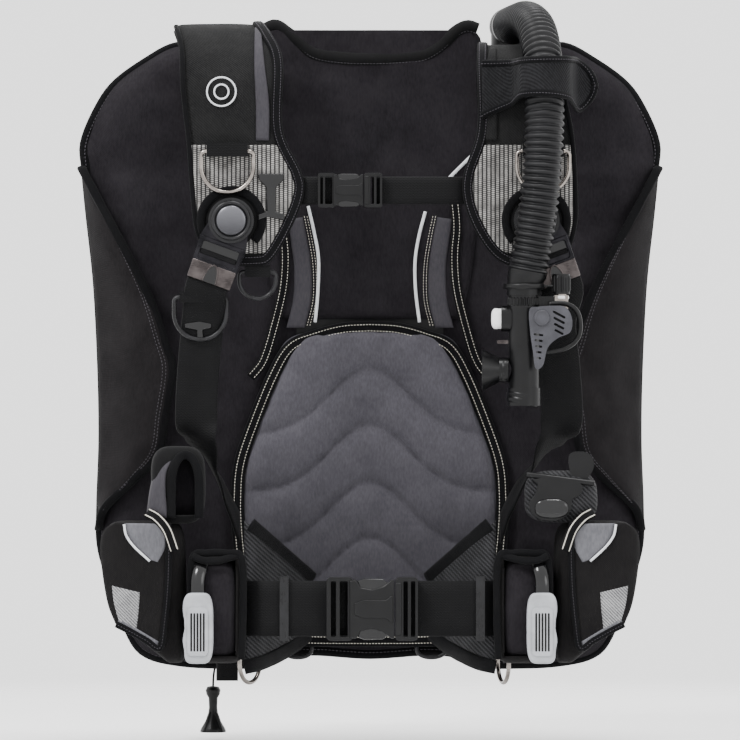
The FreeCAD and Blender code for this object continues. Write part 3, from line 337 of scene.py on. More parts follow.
class Finish:
    """A material: one Principled shader, and places on the surface in millimetres."""

    def __init__(self, name, **constants):
        self.name = name
        self.material = bpy.data.materials.new(name)
        self.material.use_nodes = True
        self.tree = self.material.node_tree
        self.tree.nodes.clear()
        self.shader = self.tree.nodes.new("ShaderNodeBsdfPrincipled")
        self.output = self.tree.nodes.new("ShaderNodeOutputMaterial")
        self.tree.links.new(self.shader.outputs[0], self.output.inputs[0])
        for socket, value in constants.items():
            self.set(" ".join("IOR" if word == "ior" else word.title() for word in socket.split("_")), value)
        place = self.node("ShaderNodeTexCoord", {}, out="Object")
        self.place = self.node("ShaderNodeVectorMath", {"operation": "SCALE"}, place, Scale=1 / MM)
        self.x, self.y, self.z = (self.node("ShaderNodeSeparateXYZ", {}, self.place, out=k) for k in range(3))

    def node(self, kind, settings, *values, out=0, **named):
        made = self.tree.nodes.new(kind)
        for key, value in settings.items():
            setattr(made, key, value)
        for key, value in [*enumerate(values), *((k.replace("_", " "), v) for k, v in named.items())]:
            self.feed(made.inputs[key], value)
        return Socket(self, made.outputs[out])

    def feed(self, socket, value):
        if isinstance(value, Socket):
            self.tree.links.new(value.output, socket)
        else:
            socket.default_value = value

    def set(self, name, value):
        self.feed(self.shader.inputs[name], value)

    def mix(self, mask, first, second):
        """Colour `first` where the mask is 0, `second` where it is 1."""
        made = self.tree.nodes.new("ShaderNodeMix")
        made.data_type = "RGBA"
        self.feed(made.inputs[0], mask)
        self.feed(made.inputs[6], first)
        self.feed(made.inputs[7], second)
        return Socket(self, made.outputs[2])

    def noise(self, size, detail=3.0, stretch=(1, 1, 1)):
        """Noise from 0 to 1 with features about `size` mm across."""
        where = self.node("ShaderNodeVectorMath", {"operation": "MULTIPLY"}, self.place,
                          tuple(s / size for s in stretch))
        return self.node("ShaderNodeTexNoise", {}, out="Fac", Vector=where, Scale=1.0, Detail=detail)

    def relief(self, height, depth):
        """Raises the surface by depth mm where the height is 1."""
        bump = self.node("ShaderNodeBump", {}, Height=height, Distance=depth * MM, Strength=1.0, out="Normal")
        self.set("Normal", bump)


def cloth(name, dark, light, pitch=1.3, depth=0.12, rough=0.82, sheen=0.15, mottle=26.0, rib=0.5, painted_shade=None):
    """Woven cloth: a twill of that pitch in mm, patchy in tone, with a slubby surface and a soft sheen.
    The last argument, (top, bottom, share), paints shade on it: the colour darkens from the height top down
    to bottom, by up to that share."""
    finish = Finish(name, roughness=rough, sheen_weight=sheen * 0.12, sheen_roughness=0.5,
                    specular_ior_level=0.06)
    across = (finish.x + finish.y * 0.83) * (TURN / pitch)
    along = finish.z * (TURN / pitch)
    twill = (across + along).sin() * rib
    threads = (across * 2 - along * 2).sin() * (1 - rib) + twill
    patches = finish.noise(mottle, 4.0)
    slubs = finish.noise(1.6, 2.0, (1, 1, 0.35))
    tone = (patches - 0.5) * 0.55 + (slubs - 0.5) * 0.7 + threads * 0.16 + 0.5
    colour = finish.mix(tone.above(0.5, 1.0), dark, light)
    # Painted shade: the colour is darkened from the top height down to the bottom one, by up to that share.
    if painted_shade:
        top, bottom, share = painted_shade
        painted_light_ramp = (0 - finish.z).above(-(top + bottom) / 2, top - bottom) * share
        colour = finish.mix(painted_light_ramp, colour, srgb(8, 8, 9))
    finish.set("Base Color", colour)
    finish.set("Roughness", rough - (patches - 0.5) * 0.2)
    finish.relief(threads * 0.5 + slubs * 0.9 + finish.noise(9.0, 3.0) * 2.0, depth)
    return finish


def strap_cloth(name, dark, light, pitch=2.4):
    """Woven webbing: fine chevrons, with ribs along it."""
    finish = Finish(name, roughness=0.62, sheen_weight=0.02, sheen_roughness=0.4, specular_ior_level=0.1)
    zigzag = ((finish.x + finish.y * 0.5) / 3.2).wrap().abs() - 0.5
    weave = ((finish.z + zigzag.abs() * 3.0) * (TURN / pitch)).sin()
    slubs = finish.noise(1.2, 2.0)
    wear = finish.noise(38.0, 4.0)
    tone = weave * 0.22 + (slubs - 0.5) * 0.9 + (wear - 0.45) * 1.3 + 0.5
    finish.set("Base Color", finish.mix(tone.above(0.5, 1.0), dark, light))
    finish.relief(weave * 0.6 + slubs * 0.7, 0.14)
    return finish


def moulded(name, dark, light, rough=0.4, grain=0.05, coat=0.0, scuff=14.0):
    """Moulded plastic: faint flow marks, a fine grain, and rubbed patches."""
    finish = Finish(name, coat_weight=coat, coat_roughness=0.12, specular_ior_level=0.22)
    flow = finish.noise(scuff, 5.0)
    fine = finish.noise(0.7, 2.0)
    scratches = finish.noise(2.2, 3.0, (1, 1, 0.12))
    tone = (flow - 0.5) * 1.6 + (fine - 0.5) * 0.3 + 0.5
    finish.set("Base Color", finish.mix(tone.above(0.5, 1.0), dark, light))
    finish.set("Roughness", (flow - 0.5) * 0.28 + (scratches - 0.5) * 0.16 + rough)
    finish.relief(fine + scratches * 0.6 + flow * 2.0, grain)
    return finish


def metal(name, dark, light, rough):
    """Metal with fine draw lines and a few dull patches."""
    finish = Finish(name, metallic=1.0)
    lines = finish.noise(0.6, 2.0, (0.08, 1, 1))
    dull = finish.noise(11.0, 4.0)
    tone = (dull - 0.5) * 1.4 + (lines - 0.5) * 0.5 + 0.5
    finish.set("Base Color", finish.mix(tone.above(0.5, 1.0), dark, light))
    finish.set("Roughness", (dull - 0.5) * 0.22 + (lines - 0.5) * 0.12 + rough)
    finish.relief(lines, 0.02)
    return finish


def dashed_silver(name):
    """Columns of short silver threads lying across a near-black ground."""
    column, row = 3.9, 1.75
    finish = Finish(name, specular_ior_level=0.25)
    across = (finish.x / column).wrap()
    row_shift = finish.node("ShaderNodeMath", {"operation": "FLOOR"}, finish.x / column) * 0.5
    along = (finish.z / row + row_shift + (finish.noise(7.0) - 0.5) * 0.25).wrap()
    in_column = (0.5 - (across - 0.5).abs()).above(0.17, 0.14)
    thread = (0.5 - (along - 0.5).abs()).above(0.16, 0.18)
    silver = in_column * thread
    tone = finish.noise(12.0, 3.0)
    bright = finish.mix(tone.above(0.5, 0.7), srgb(84, 82, 80), srgb(168, 166, 163))
    finish.set("Base Color", finish.mix(silver, srgb(20, 20, 21), bright))
    finish.set("Metallic", silver * 0.35)
    finish.set("Roughness", 0.7 - silver * 0.32)
    finish.relief(silver + finish.noise(1.2) * 0.3, 0.3)
    return finish


def ribbed_mesh(name, dark, light, pitch=4.2):
    """Knitted spacer mesh: raised slanting ribs with small dark eyes between them."""
    finish = Finish(name, roughness=0.75, sheen_weight=0.02, specular_ior_level=0.08)
    rib = ((finish.x + finish.z) * (TURN / pitch)).sin()
    eye = ((finish.x - finish.z) * (TURN / (pitch * 0.62))).sin()
    height = rib * 0.6 + eye * rib * 0.4
    tone = height * 0.55 + (finish.noise(20.0) - 0.5) * 0.8 + (finish.noise(1.4) - 0.5) * 0.6 + 0.5
    finish.set("Base Color", finish.mix(tone.above(0.5, 1.1), dark, light))
    finish.relief(height, 0.5)
    return finish


def satin_cap(name):
    """A pressed metal cap with a painted reflection: its tone falls from a painted highlight at the top to
    painted shade at the bottom.
    """
    finish = Finish(name, metallic=0.85)
    low, high = cad_box_mm("swivel_posts")
    # Painted highlight and shade: the colour runs from dark at the foot of the swivel posts to light at their
    # top.
    painted_light_ramp = (finish.z - low.z) / (high.z - low.z)
    grain = finish.noise(0.8, 2.0, (0.1, 1, 1))
    finish.set("Base Color", finish.mix(painted_light_ramp + (grain - 0.5) * 0.15, srgb(26, 26, 28), srgb(112, 112, 117)))
    finish.set("Roughness", 0.3 + (finish.noise(6.0) - 0.5) * 0.15)
    finish.relief(grain, 0.02)
    return finish


FINISHES = {finish.name: finish for finish in (
    cloth("cell_cloth", srgb(16, 14, 17), srgb(35, 33, 36), pitch=1.5, sheen=0.08, depth=0.16),
    cloth("wing_cloth", srgb(15, 14, 15), srgb(30, 28, 29), pitch=1.5, sheen=0.12, depth=0.18),
    cloth("pad_cloth", srgb(13, 13, 14), srgb(32, 32, 32), pitch=2.6, depth=0.3, rib=0.85),
    cloth("lumbar_cloth", srgb(56, 55, 60), srgb(81, 79, 85), pitch=1.1, sheen=0.2, depth=0.1,
          painted_shade=(-20.0, -290.0, 0.42)),
    cloth("pocket_cloth", srgb(14, 13, 14), srgb(25, 24, 24), pitch=1.7, sheen=0.1, depth=0.18),
    cloth("grey_panel", srgb(72, 72, 76), srgb(98, 98, 102), pitch=1.2, depth=0.08, rough=0.55),
    cloth("neoprene", srgb(10, 10, 10), srgb(17, 17, 18), pitch=1.0, depth=0.08, sheen=0.3),
    cloth("binding", srgb(4, 4, 6), srgb(11, 11, 12), pitch=1.6, depth=0.2, rough=0.7, rib=0.2),
    cloth("satin_strip", srgb(42, 41, 45), srgb(60, 58, 62), pitch=1.0, rough=0.48, depth=0.06),
    dashed_silver("silver_weave"),
    cloth("flap_twill", srgb(9, 9, 10), srgb(32, 32, 34), pitch=3.4, depth=0.4, rib=0.95, rough=0.7),
    ribbed_mesh("mesh_cloth", srgb(11, 11, 12), srgb(50, 50, 52)),
    ribbed_mesh("pale_mesh", srgb(78, 78, 80), srgb(160, 160, 161), pitch=3.0),
    cloth("piping", srgb(176, 178, 182), srgb(220, 222, 224), pitch=1.0, rough=0.5, mottle=12.0),
    strap_cloth("webbing", srgb(4, 4, 5), srgb(11, 11, 12)),
    cloth("thread", srgb(150, 146, 138), srgb(206, 202, 192), pitch=0.8, rough=0.6, mottle=9.0),
    cloth("dark_thread", srgb(52, 50, 54), srgb(84, 81, 86), pitch=0.8, rough=0.6, mottle=9.0),
    moulded("plate_plastic", srgb(9, 9, 10), srgb(19, 19, 20), rough=0.5, grain=0.12),
    moulded("buckle_plastic", srgb(5, 5, 6), srgb(11, 11, 12), rough=0.36, grain=0.05),
    moulded("ring_plastic", srgb(14, 14, 15), srgb(28, 28, 30), rough=0.3),
    moulded("gloss_black", srgb(5, 5, 6), srgb(13, 13, 14), rough=0.16, grain=0.02, coat=0.35),
    moulded("inflator_plastic", srgb(4, 4, 5), srgb(10, 10, 11), rough=0.32, grain=0.05),
    moulded("grey_plastic", srgb(46, 46, 50), srgb(64, 64, 69), rough=0.4),
    moulded("handle_plastic", srgb(137, 139, 142), srgb(160, 162, 166), rough=0.42, grain=0.1),
    moulded("white_plastic", srgb(206, 206, 206), srgb(234, 234, 234), rough=0.34),
    metal("gunmetal", srgb(22, 22, 24), srgb(44, 43, 46), rough=0.3),
    metal("bronze", srgb(48, 44, 44), srgb(92, 86, 85), rough=0.3),
    metal("steel", srgb(104, 99, 95), srgb(158, 151, 145), rough=0.2),
    satin_cap("satin_cap"),
    moulded("hose_rubber", srgb(6, 6, 7), srgb(18, 18, 20), rough=0.42, grain=0.09, scuff=22.0),
    strap_cloth("cord_braid", srgb(6, 6, 6), srgb(16, 16, 17), pitch=1.2),
)}
SLOTS = {m["slot"] for m in frame["record"]["materials"]}
STAND_IN_SLOTS = {"thread": "piping", "dark_thread": "lumbar_cloth", "pale_mesh": "mesh_cloth",
                  "flap_twill": "mesh_cloth", "bronze": "gunmetal", "satin_cap": "gunmetal",
                  "grey_panel": "satin_strip"}


def material(name):
    return FINISHES[name].material


def slot_of(finish):
    return finish if finish in SLOTS else STAND_IN_SLOTS[finish]


def make(name, mesh, finish, body=ROOT, smooth=True):
    """A piece of the vest: the mesh in its finish, riding on its body."""
    piece = bpy.data.objects.new(name, mesh)
    bpy.context.scene.collection.objects.link(piece)
    mesh.materials.append(material(finish))
    if smooth:
        for polygon in mesh.polygons:
            polygon.use_smooth = True
    if body:
        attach(piece, body)
    slot_of(finish)
    return piece


# ---- Camera, light and floor ---------------------------------------------------
CAMERA_PLACE = (0.0, -6.2, -0.035)
FRAME_WIDTH, FRAME_DISTANCE, SENSOR = 0.673, 6.0, 36.0
FLOOR_Z = -0.3795


def stage_set():
    lens = bpy.data.cameras.new("view_camera")
    lens.sensor_width = SENSOR
    lens.lens = SENSOR * FRAME_DISTANCE / FRAME_WIDTH
    lens.clip_end = 100
    camera = bpy.data.objects.new("view_camera", lens)
    camera.location = CAMERA_PLACE
    camera.rotation_euler = (math.radians(90), 0, 0)
    bpy.context.scene.collection.objects.link(camera)
    bpy.context.scene.camera = camera
    world = bpy.data.worlds.new("studio")
    world.use_nodes = True
    world.node_tree.nodes["Background"].inputs["Color"].default_value = (1, 1, 1, 1)
    world.node_tree.nodes["Background"].inputs["Strength"].default_value = 2.1
    bpy.context.scene.world = world
    lamps = [("key", (-1.9, -2.2, 2.6), 1.0, 120), ("fill", (2.4, -2.4, 0.9), 1.4, 18),
             ("top", (0.4, -0.6, 2.8), 1.0, 70), ("rear", (0.6, 2.8, 1.4), 1.8, 40)]
    for name, place, size, power in lamps:
        data = bpy.data.lights.new(name, "AREA")
        data.shape = "DISK"
        data.size, data.energy = size, power
        lamp = bpy.data.objects.new(name, data)
        lamp.location = place
        lamp.rotation_euler = (Vector((0, -0.15, -0.05)) - Vector(place)).to_track_quat("-Z", "Y").to_euler()
        bpy.context.scene.collection.objects.link(lamp)
    disc = turned("floor", (0, -150, FLOOR_Z / MM), UPWARD, [(-2, 2600), (0, 2600)], sides=96)
    floor = bpy.data.objects.new("floor", disc)
    bpy.context.scene.collection.objects.link(floor)
    pale = Finish("floor_paint", roughness=0.9, base_color=(0.86, 0.86, 0.86, 1))
    reach = pale.node("ShaderNodeVectorMath", {"operation": "LENGTH"}, pale.place, out="Value")
    clear = pale.node("ShaderNodeBsdfTransparent", {})
    painted = Socket(pale, pale.shader.outputs[0])
    mixed = pale.node("ShaderNodeMixShader", {}, reach.above(900.0, 900.0), painted, clear)
    pale.tree.links.new(mixed.output, pale.output.inputs[0])
    floor.data.materials.append(pale.material)


stage_set()


# ---- Cords ---------------------------------------------------------------------
# The control points of the hose and of the pull cord, in metres.
HOSE_ROUTE = [(0.131, -0.108, 0.283), (0.136, -0.140, 0.284), (0.144, -0.185, 0.285), (0.152, -0.230, 0.273),
              (0.156, -0.266, 0.241), (0.157, -0.284, 0.196), (0.155, -0.288, 0.150), (0.150, -0.287, 0.100),
              (0.1415, -0.286, 0.054)]
CORD_ROUTE = [(-0.140, -0.060, -0.282), (-0.140, -0.060, -0.301), (-0.146, -0.060, -0.315),
              (-0.146, -0.060, -0.329)]
HOSE_LENGTH, HOSE_RADIUS, HOSE_PITCH = 0.363, 18.0, 6.3
CORD_LENGTH, CORD_DIAMETER = 0.0479, 0.002


def nurbs_curve(name, route, bevel=0.0):
    curve = bpy.data.curves.new(name, "CURVE")
    curve.dimensions = "3D"
    curve.resolution_u = 24
    curve.bevel_depth = bevel
    curve.bevel_resolution = 4
    spline = curve.splines.new("NURBS")
    spline.points.add(len(route) - 1)
    for point, place in zip(spline.points, route):
        point.co = (*place, 1.0)
    spline.order_u = 3
    spline.use_endpoint_u = True
    piece = bpy.data.objects.new(name, curve)
    bpy.context.scene.collection.objects.link(piece)
    return piece


def points_on(name, route, step):
    """Points every `step` mm along the cord's own smooth line."""
    line = nurbs_curve(name, route)
    bpy.context.view_layer.update()
    seen = bpy.data.meshes.new_from_object(line)
    points = [v.co / MM for v in seen.vertices]
    bpy.data.objects.remove(line)
    bpy.data.meshes.remove(seen)
    return even(points, step)


def corrugated_hose():
    """The hose: rounded rings one after another, which lean a little from one to the next."""
    rings_per_pitch = 8
    path = points_on("hose_line", HOSE_ROUTE, HOSE_PITCH / rings_per_pitch)
    scales = []
    for i in range(len(path)):
        phase = (i % rings_per_pitch) / rings_per_pitch
        crest = 0.5 + 0.5 * math.cos(TURN * (phase - 0.5))
        scales.append(0.845 + 0.155 * crest ** 0.62)
    for i in (0, len(path) - 1):
        scales[i] = 0.86
    ring = round_profile(HOSE_RADIUS, 40)
    mesh = sweep("corrugated_hose_skin", path, Vector((1, 0, 0)), ring, scales=scales)
    piece = make("corrugated_hose_skin", mesh, "hose_rubber")
    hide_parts("corrugated_hose")
    [tuple(p * MM) for p in path]


TOGGLE_TURNING = [(0, 2.2), (0.8, 5.6), (4, 7.0), (8, 6.2), (11, 4.3), (20, 3.9), (27, 4.8), (33, 7.4),
                  (39, 11.0), (42, 12.2), (43, 11.6)]


def pull_toggle():
    """The pull's knob: a ball and a slim neck, flaring to a foot with four fins."""
    top = Vector(CORD_ROUTE[-1]) / MM
    meshes = [turned("toggle", top, -UPWARD, TOGGLE_TURNING, 48)]
    for k in range(4):
        angle = TURN * (k + 0.5) / 4
        out = Vector((math.cos(angle), math.sin(angle), 0))
        run = [top - UPWARD * down + out * reach for down, reach in ((24, 3.6), (34, 8.4), (42.6, 12.6))]
        meshes.append(sweep("fin", spread(run, 1.5), out, [(1.5, -1), (1.3, 0.9), (-1.3, 0.9), (-1.5, -1)]))
    piece = make("dump_toggle_knob", join_meshes("dump_toggle_knob", meshes), "buckle_plastic", "dump_pull")
    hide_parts("dump_toggle")
    return piece


def pull_cord():
    piece = nurbs_curve("dump_cord_braid", CORD_ROUTE, bevel=CORD_DIAMETER / 2)
    piece.data.materials.append(material("cord_braid"))
    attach(piece, "dump_pull")
    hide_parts("dump_cord")
    pull_toggle()


corrugated_hose()
pull_cord()

# ---- Sewn panels ---------------------------------------------------------------
def side_points(outline, count):
    """An outline's (x, z) points as `count` evenly spaced ones on the smooth curve through them."""
    dense = spread([(x, 0, z) for x, z in outline], 3.0)
    return [(p.x, p.z) for p in even(dense, count=count)]


def flip(outline, side):
    return [(side * x, z) for x, z in outline]


def rim(w, width):
    """0 at an edge and 1 further in than `width`, as a quarter circle."""
    w = min(max(w / width, 0.0), 1.0)
    return math.sqrt(1 - (1 - w) ** 2)


def panel(name, first, second, front, thick, across=24, round_in=0.12, ends=True):
    """A padded panel between two edges with equally many (x, z) points.
    front(x, z, u, v) is its face's y, with u from 0 to 1 across it and v along it."""
    points = []
    rows = len(first)
    for layer in (0, 1):
        for j in range(rows):
            v = j / (rows - 1)
            for i in range(across + 1):
                u = i / across
                x, z = lerp(first[j][0], second[j][0], u), lerp(first[j][1], second[j][1], u)
                near = rim(min(u, 1 - u), round_in)
                if ends:
                    near *= rim(min(v, 1 - v), round_in * 0.7)
                y = front(x, z, u, v)
                middle = y + thick * 0.5
                half = thick * 0.5 * max(near, 0.02)
                points.append((x, middle - half if layer == 0 else middle + half, z))
    return welded(mesh_of(name, points, shell_faces(rows, across + 1)))


def on_face(outline, depth, step=4.0, closed=False):
    """Evenly spaced 3-D points along an (x, z) line, with depth(x, z) as their y."""
    flat = spread([(x, 0, z) for x, z in outline], step, closed)
    return [Vector((p.x, depth(p.x, p.z), p.z)) for p in flat]


BINDING_PROFILE = [(4.6, -1.2), (4.2, 0.9), (2.4, 1.7), (0, 1.9), (-2.4, 1.7), (-4.2, 0.9), (-4.6, -1.2),
                   (0, -1.6)]
BINDING_WIDTH = 9.2
PIPING_RADIUS = 1.5
STITCH_RINGS = ((-0.5, 0.35, -0.8), (-0.28, 0.95, 0.0), (0.28, 0.95, 0.0), (0.5, 0.35, -0.8))


def tape_profile(wide, tall=1.0):
    """The binding's section with its width and height scaled."""
    return [(a * wide, u * tall) for a, u in BINDING_PROFILE]


def binding(name, path, ups=FORWARD, width=BINDING_WIDTH, body=ROOT, closed=False, finish="binding"):
    """Woven tape folded over an edge: a flat band, slightly crowned and unevenly sewn."""
    scales = [1 + 0.06 * wobble(p.x, p.y, p.z, 17.0, 3.1) for p in path]
    return make(name, sweep(name, path, ups, tape_profile(width / BINDING_WIDTH), closed, scales), finish,
                body)


def piping(name, path, ups=FORWARD, radius=PIPING_RADIUS, finish="piping", body=ROOT):
    return make(name, sweep(name, path, ups, round_profile(radius, 8)), finish, body)


def stitch_mesh(name, path, ups, pitch, length, radius):
    """Short threads lying end to end along the path."""
    spots = even(path, pitch)
    points, faces = [], []
    sides, lift = 5, radius * 0.5
    for i in range(len(spots) - 1):
        run = (spots[i + 1] - spots[i])
        if run.length < 1e-6:
            continue
        run.normalize()
        up = (ups - run * ups.dot(run)).normalized()
        across = run.cross(up)
        first = len(points)
        for along, size, rise in STITCH_RINGS:
            centre = spots[i] + run * (along * length) + up * (lift + rise * radius)
            for k in range(sides):
                angle = TURN * k / sides
                points.append(centre + (across * math.cos(angle) + up * math.sin(angle)) * (radius * size))
        for ring in range(3):
            for k in range(sides):
                m = (k + 1) % sides
                a, b = first + ring * sides, first + (ring + 1) * sides
                faces.append((a + k, a + m, b + m, b + k))
        faces.append(tuple(first + k for k in range(sides)))
        faces.append(tuple(first + 3 * sides + k for k in range(sides)))
    return mesh_of(name, points, faces)


def stitches(name, paths, ups=FORWARD, pitch=2.7, length=2.0, radius=0.42, finish="thread", body=ROOT):
    """Rows of stitches, joined in one piece."""
    meshes = [stitch_mesh(f"{name}_{i}", path, ups, pitch, length, radius) for i, path in enumerate(paths)]
    return make(name, join_meshes(name, meshes), finish, body)


def beside(path, distance, ups=FORWARD):
    """The same path moved sideways on its surface."""
    out = []
    for i, p in enumerate(path):
        up = ups[i] if isinstance(ups, list) else ups
        out.append(p + run_at(path, i).cross(up).normalized() * distance)
    return out


def lifted(path, height, up=FORWARD):
    return [p + up * height for p in path]


# ---- Air cell, side folds and collar -------------------------------------------
CELL_HALF_EDGE = [(0, 250), (50, 250), (100, 256), (150, 262), (179, 266), (207, 252), (237, 230),
                  (254, 205), (266, 175), (265, 151), (261, 109), (254, 44), (250, -35), (249, -100),
                  (251, -160), (250, -200), (236, -244), (221, -284), (205, -300), (175, -307), (139, -309),
                  (100, -308), (79, -299), (50, -297), (0, -300)]
CELL_RIM_PROFILE = [(3.6, -6.5), (3.9, -1), (3.0, 1.2), (0, 2.0), (-3.0, 1.2), (-3.9, -1), (-3.6, -6.5)]
CELL_OPENING = (62.0, 90.0)
CELL_MID_Y = -107.0


def both_halves(half):
    """A closed outline from its right half, which runs from the middle above to the middle below."""
    return half + [(-x, z) for x, z in half[-2:0:-1]]


def cell_front(x, z):
    """The front skin's y: flat in the middle, fuller towards the sides, wrinkled by the shoulders."""
    full = ease((abs(x) - 110) / 90) * (1 - ease((abs(x) - 215) / 60))
    folds = wobble(x * 0.55, 0, z * 1.3, 62.0, 4.2) * 5.0 + wobble(x * 0.5, 0, z * 1.5, 26.0, 8.0) * 2.2
    return CELL_MID_Y - 6.5 - 13.0 * full - folds * ease((abs(x) - 100) / 60)


def cell_back(x, z):
    """The rear skin's y, away from its rim and the opening."""
    swell = 0.35 + 0.65 * ease((abs(x) - 70) / 110)
    return CELL_MID_Y + 4 + 27 * swell + 2.5 * wobble(x, 9, z, 48.0, 1.7)


def air_cell():
    edge = spread([(x, 0, z) for x, z in both_halves(CELL_HALF_EDGE)], 6.0, closed=True)
    count, rings = len(edge), 26
    points, faces = [], []
    for layer in (0, 1):
        for s in range(rings + 1):
            t = s / rings
            for p in edge:
                angle = math.atan2(p.z / 1.25, p.x)
                c, k = math.cos(angle), math.sin(angle)
                reach = (abs(c / CELL_OPENING[0]) ** 8 + abs(k / CELL_OPENING[1]) ** 8) ** (-1 / 8)
                inner = Vector((c * reach, 0, k * reach))
                x, z = lerp(inner.x, p.x, t), lerp(inner.z, p.z, t)
                near = rim(1 - t, 0.16) * rim(t, 0.05)
                skin_y = cell_back(x, z) if layer else cell_front(x, z)
                points.append((x, CELL_MID_Y + (skin_y - CELL_MID_Y) * near, z))
    layer_size = (rings + 1) * count
    for layer in (0, layer_size):
        for s in range(rings):
            for k in range(count):
                m = (k + 1) % count
                a, b = layer + s * count, layer + (s + 1) * count
                faces.append((a + k, a + m, b + m, b + k))
    for s in (0, rings):
        for k in range(count):
            m = (k + 1) % count
            a = s * count
            faces.append((a + k, a + m, layer_size + a + m, layer_size + a + k))
    skin = make("cell_skin", welded(mesh_of("cell_skin", points, faces)), "cell_cloth")
    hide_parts("air_cell")
    rim_path = [Vector((p.x, CELL_MID_Y, p.z)) for p in edge]
    middle = Vector((0, CELL_MID_Y, -20))
    outward = [(p - middle).normalized() for p in rim_path]
    tape = sweep("cell_binding", rim_path, outward, CELL_RIM_PROFILE, closed=True)
    make("cell_binding", tape, "binding")
    inner = [p + (middle - p).normalized() * 4.2 + FORWARD * 3.9 for p in rim_path]
    stitches("cell_stitches", [inner + inner[:1]], pitch=3.4, length=2.3, radius=0.4, finish="dark_thread")


def off_back(p):
    """The direction that the rear skin faces at that point."""
    slope_x = cell_back(p.x + 2, p.z) - cell_back(p.x - 2, p.z)
    slope_z = cell_back(p.x, p.z + 2) - cell_back(p.x, p.z - 2)
    return Vector((-slope_x / 4, 1, -slope_z / 4)).normalized()


def back_tape(name, outline, width, row_offset, finish="binding", closed=False):
    """Tape or webbing sewn flat on the rear skin, with a row of thread along each side."""
    path = on_face(outline, lambda x, z: cell_back(x, z) + 0.6, 3.0, closed)
    binding(f"{name}_tape", path, [off_back(p) for p in path], width, closed=closed, finish=finish)
    rows = []
    for distance in (-row_offset, row_offset):
        row = beside(path, distance, BACKWARD)
        lift = 2.4 if abs(distance) < width / 2 else 0.5
        row = [Vector((p.x, cell_back(p.x, p.z) + lift, p.z)) for p in row]
        rows.append(row + row[:1] if closed else row)
    stitches(f"{name}_stitches", rows, BACKWARD, pitch=3.4, length=2.3, radius=0.4, finish="dark_thread")


def back_seams():
    """The rear skin's shaped seams, and the webbings that run up and down from the plate."""
    half = [(0, 204), (60, 200), (104, 186), (134, 150), (152, 90), (157, 20), (152, -80), (138, -156),
            (112, -203), (60, -223), (0, -228)]
    back_tape("back_seam", both_halves(half), 8.4, 6.8, closed=True)
    for side_name, side in SIDES:
        for label, line in (("upper", [(34, 198), (34, 112)]), ("lower", [(34, -112), (36, -220)])):
            back_tape(f"back_webbing_{side_name}_{label}", flip(line, side), 25.0, 9.4, "webbing")


WING_INNER = [(266, 152), (250, 122), (231, 87), (203, 33), (188, -10), (181, -35), (188, -78), (194, -111),
              (216, -135), (244, -162), (250, -182)]
WING_OUTER = [(267, 153), (262, 109), (255, 44), (251, -35), (250, -100), (252, -150), (250, -183)]


def wing_y(x, z, u, v):
    """u runs from the free inner edge to the outer rim. The free edge stands forward."""
    stand = math.sin(math.pi * min(max(v, 0), 1)) ** 0.7
    inner = lerp(-118, -158, stand)
    outer = -113.0
    folds = 3.2 * wobble(x, 0, z * 1.2, 44.0, 5.5) + 1.6 * wobble(x, 0, z, 19.0, 2.5)
    full = 9.0 * math.sin(math.pi * u) * stand
    return lerp(inner, outer, u ** 1.35) - full - folds * rim(min(u, 1 - u), 0.3)


def wing(side_name, side):
    count = 90
    first = side_points(flip(WING_INNER, side), count)
    second = side_points(flip(WING_OUTER, side), count)
    name = f"wing_{side_name}_skin"
    mesh = panel(name, first, second, wing_y, 5.0, across=26, round_in=0.06, ends=False)
    skin = make(name, mesh, "wing_cloth")
    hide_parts(f"wing_flap_{side_name}")
    path = [Vector((x, wing_y(x, z, 0, j / (count - 1)) + 1.5, z)) for j, (x, z) in enumerate(first)]
    lean = Vector((-side * 0.35, -0.9, 0)).normalized()
    binding(f"wing_{side_name}_binding", path, lean, width=8.4)
    rows = []
    for u in (0.085, 0.13):
        row = []
        for j in range(4, count - 4):
            v = j / (count - 1)
            x, z = lerp(first[j][0], second[j][0], u), lerp(first[j][1], second[j][1], u)
            row.append(Vector((x, wing_y(x, z, u, v) + 0.2, z)))
        rows.append(row)
    stitches(f"wing_{side_name}_stitches", rows, lean, 3.2, 2.2, 0.36, "dark_thread")


COLLAR_LINE = [(-99, 276), (-92, 281), (-84, 281), (-68, 269), (-52, 257), (-28, 252.5), (0, 251.5),
               (28, 252.5), (50, 255), (66, 264), (80, 277), (90, 281.5), (99, 279)]


def collar():
    """The rolled tube round the neck, gathered at its ends."""
    path = on_face(COLLAR_LINE, lambda x, z: -117.0 + 2.0 * (x / 90) ** 2, 3.0)
    scales = [1 + 0.07 * wobble(p.x, p.y, p.z, 9.0, 6.0) for p in path]
    mesh = sweep("collar_roll", path, UPWARD, round_profile(6.4, 18), scales=scales)
    roll = make("collar_roll", mesh, "neoprene")
    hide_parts("collar")
    seam = [p + Vector((0, -4.9, -4.3)) for p in path]
    stitches("collar_stitches", [seam], FORWARD, 3.0, 2.0, 0.35, "dark_thread")


# ---- Upper back panel ----------------------------------------------------------
UPPER_EDGE = [(0, 247), (30, 247), (50, 250), (64, 260), (79, 274), (92, 278), (103, 266), (105, 205),
              (100, 150), (98, 95), (92, 45), (82, 12)]


def upper_y(x, z):
    """The panel's face: it lies on the cell, with soft wrinkles below the collar."""
    near_neck = ease((z - 120) / 110)
    folds = 2.2 * wobble(x * 0.8, 0, z, 30.0, 7.7) * near_neck
    folds += 0.9 * wobble(x, 0, z, 13.0, 9.1) * near_neck
    return -119.0 - 1.5 * math.cos(x / 70) - folds


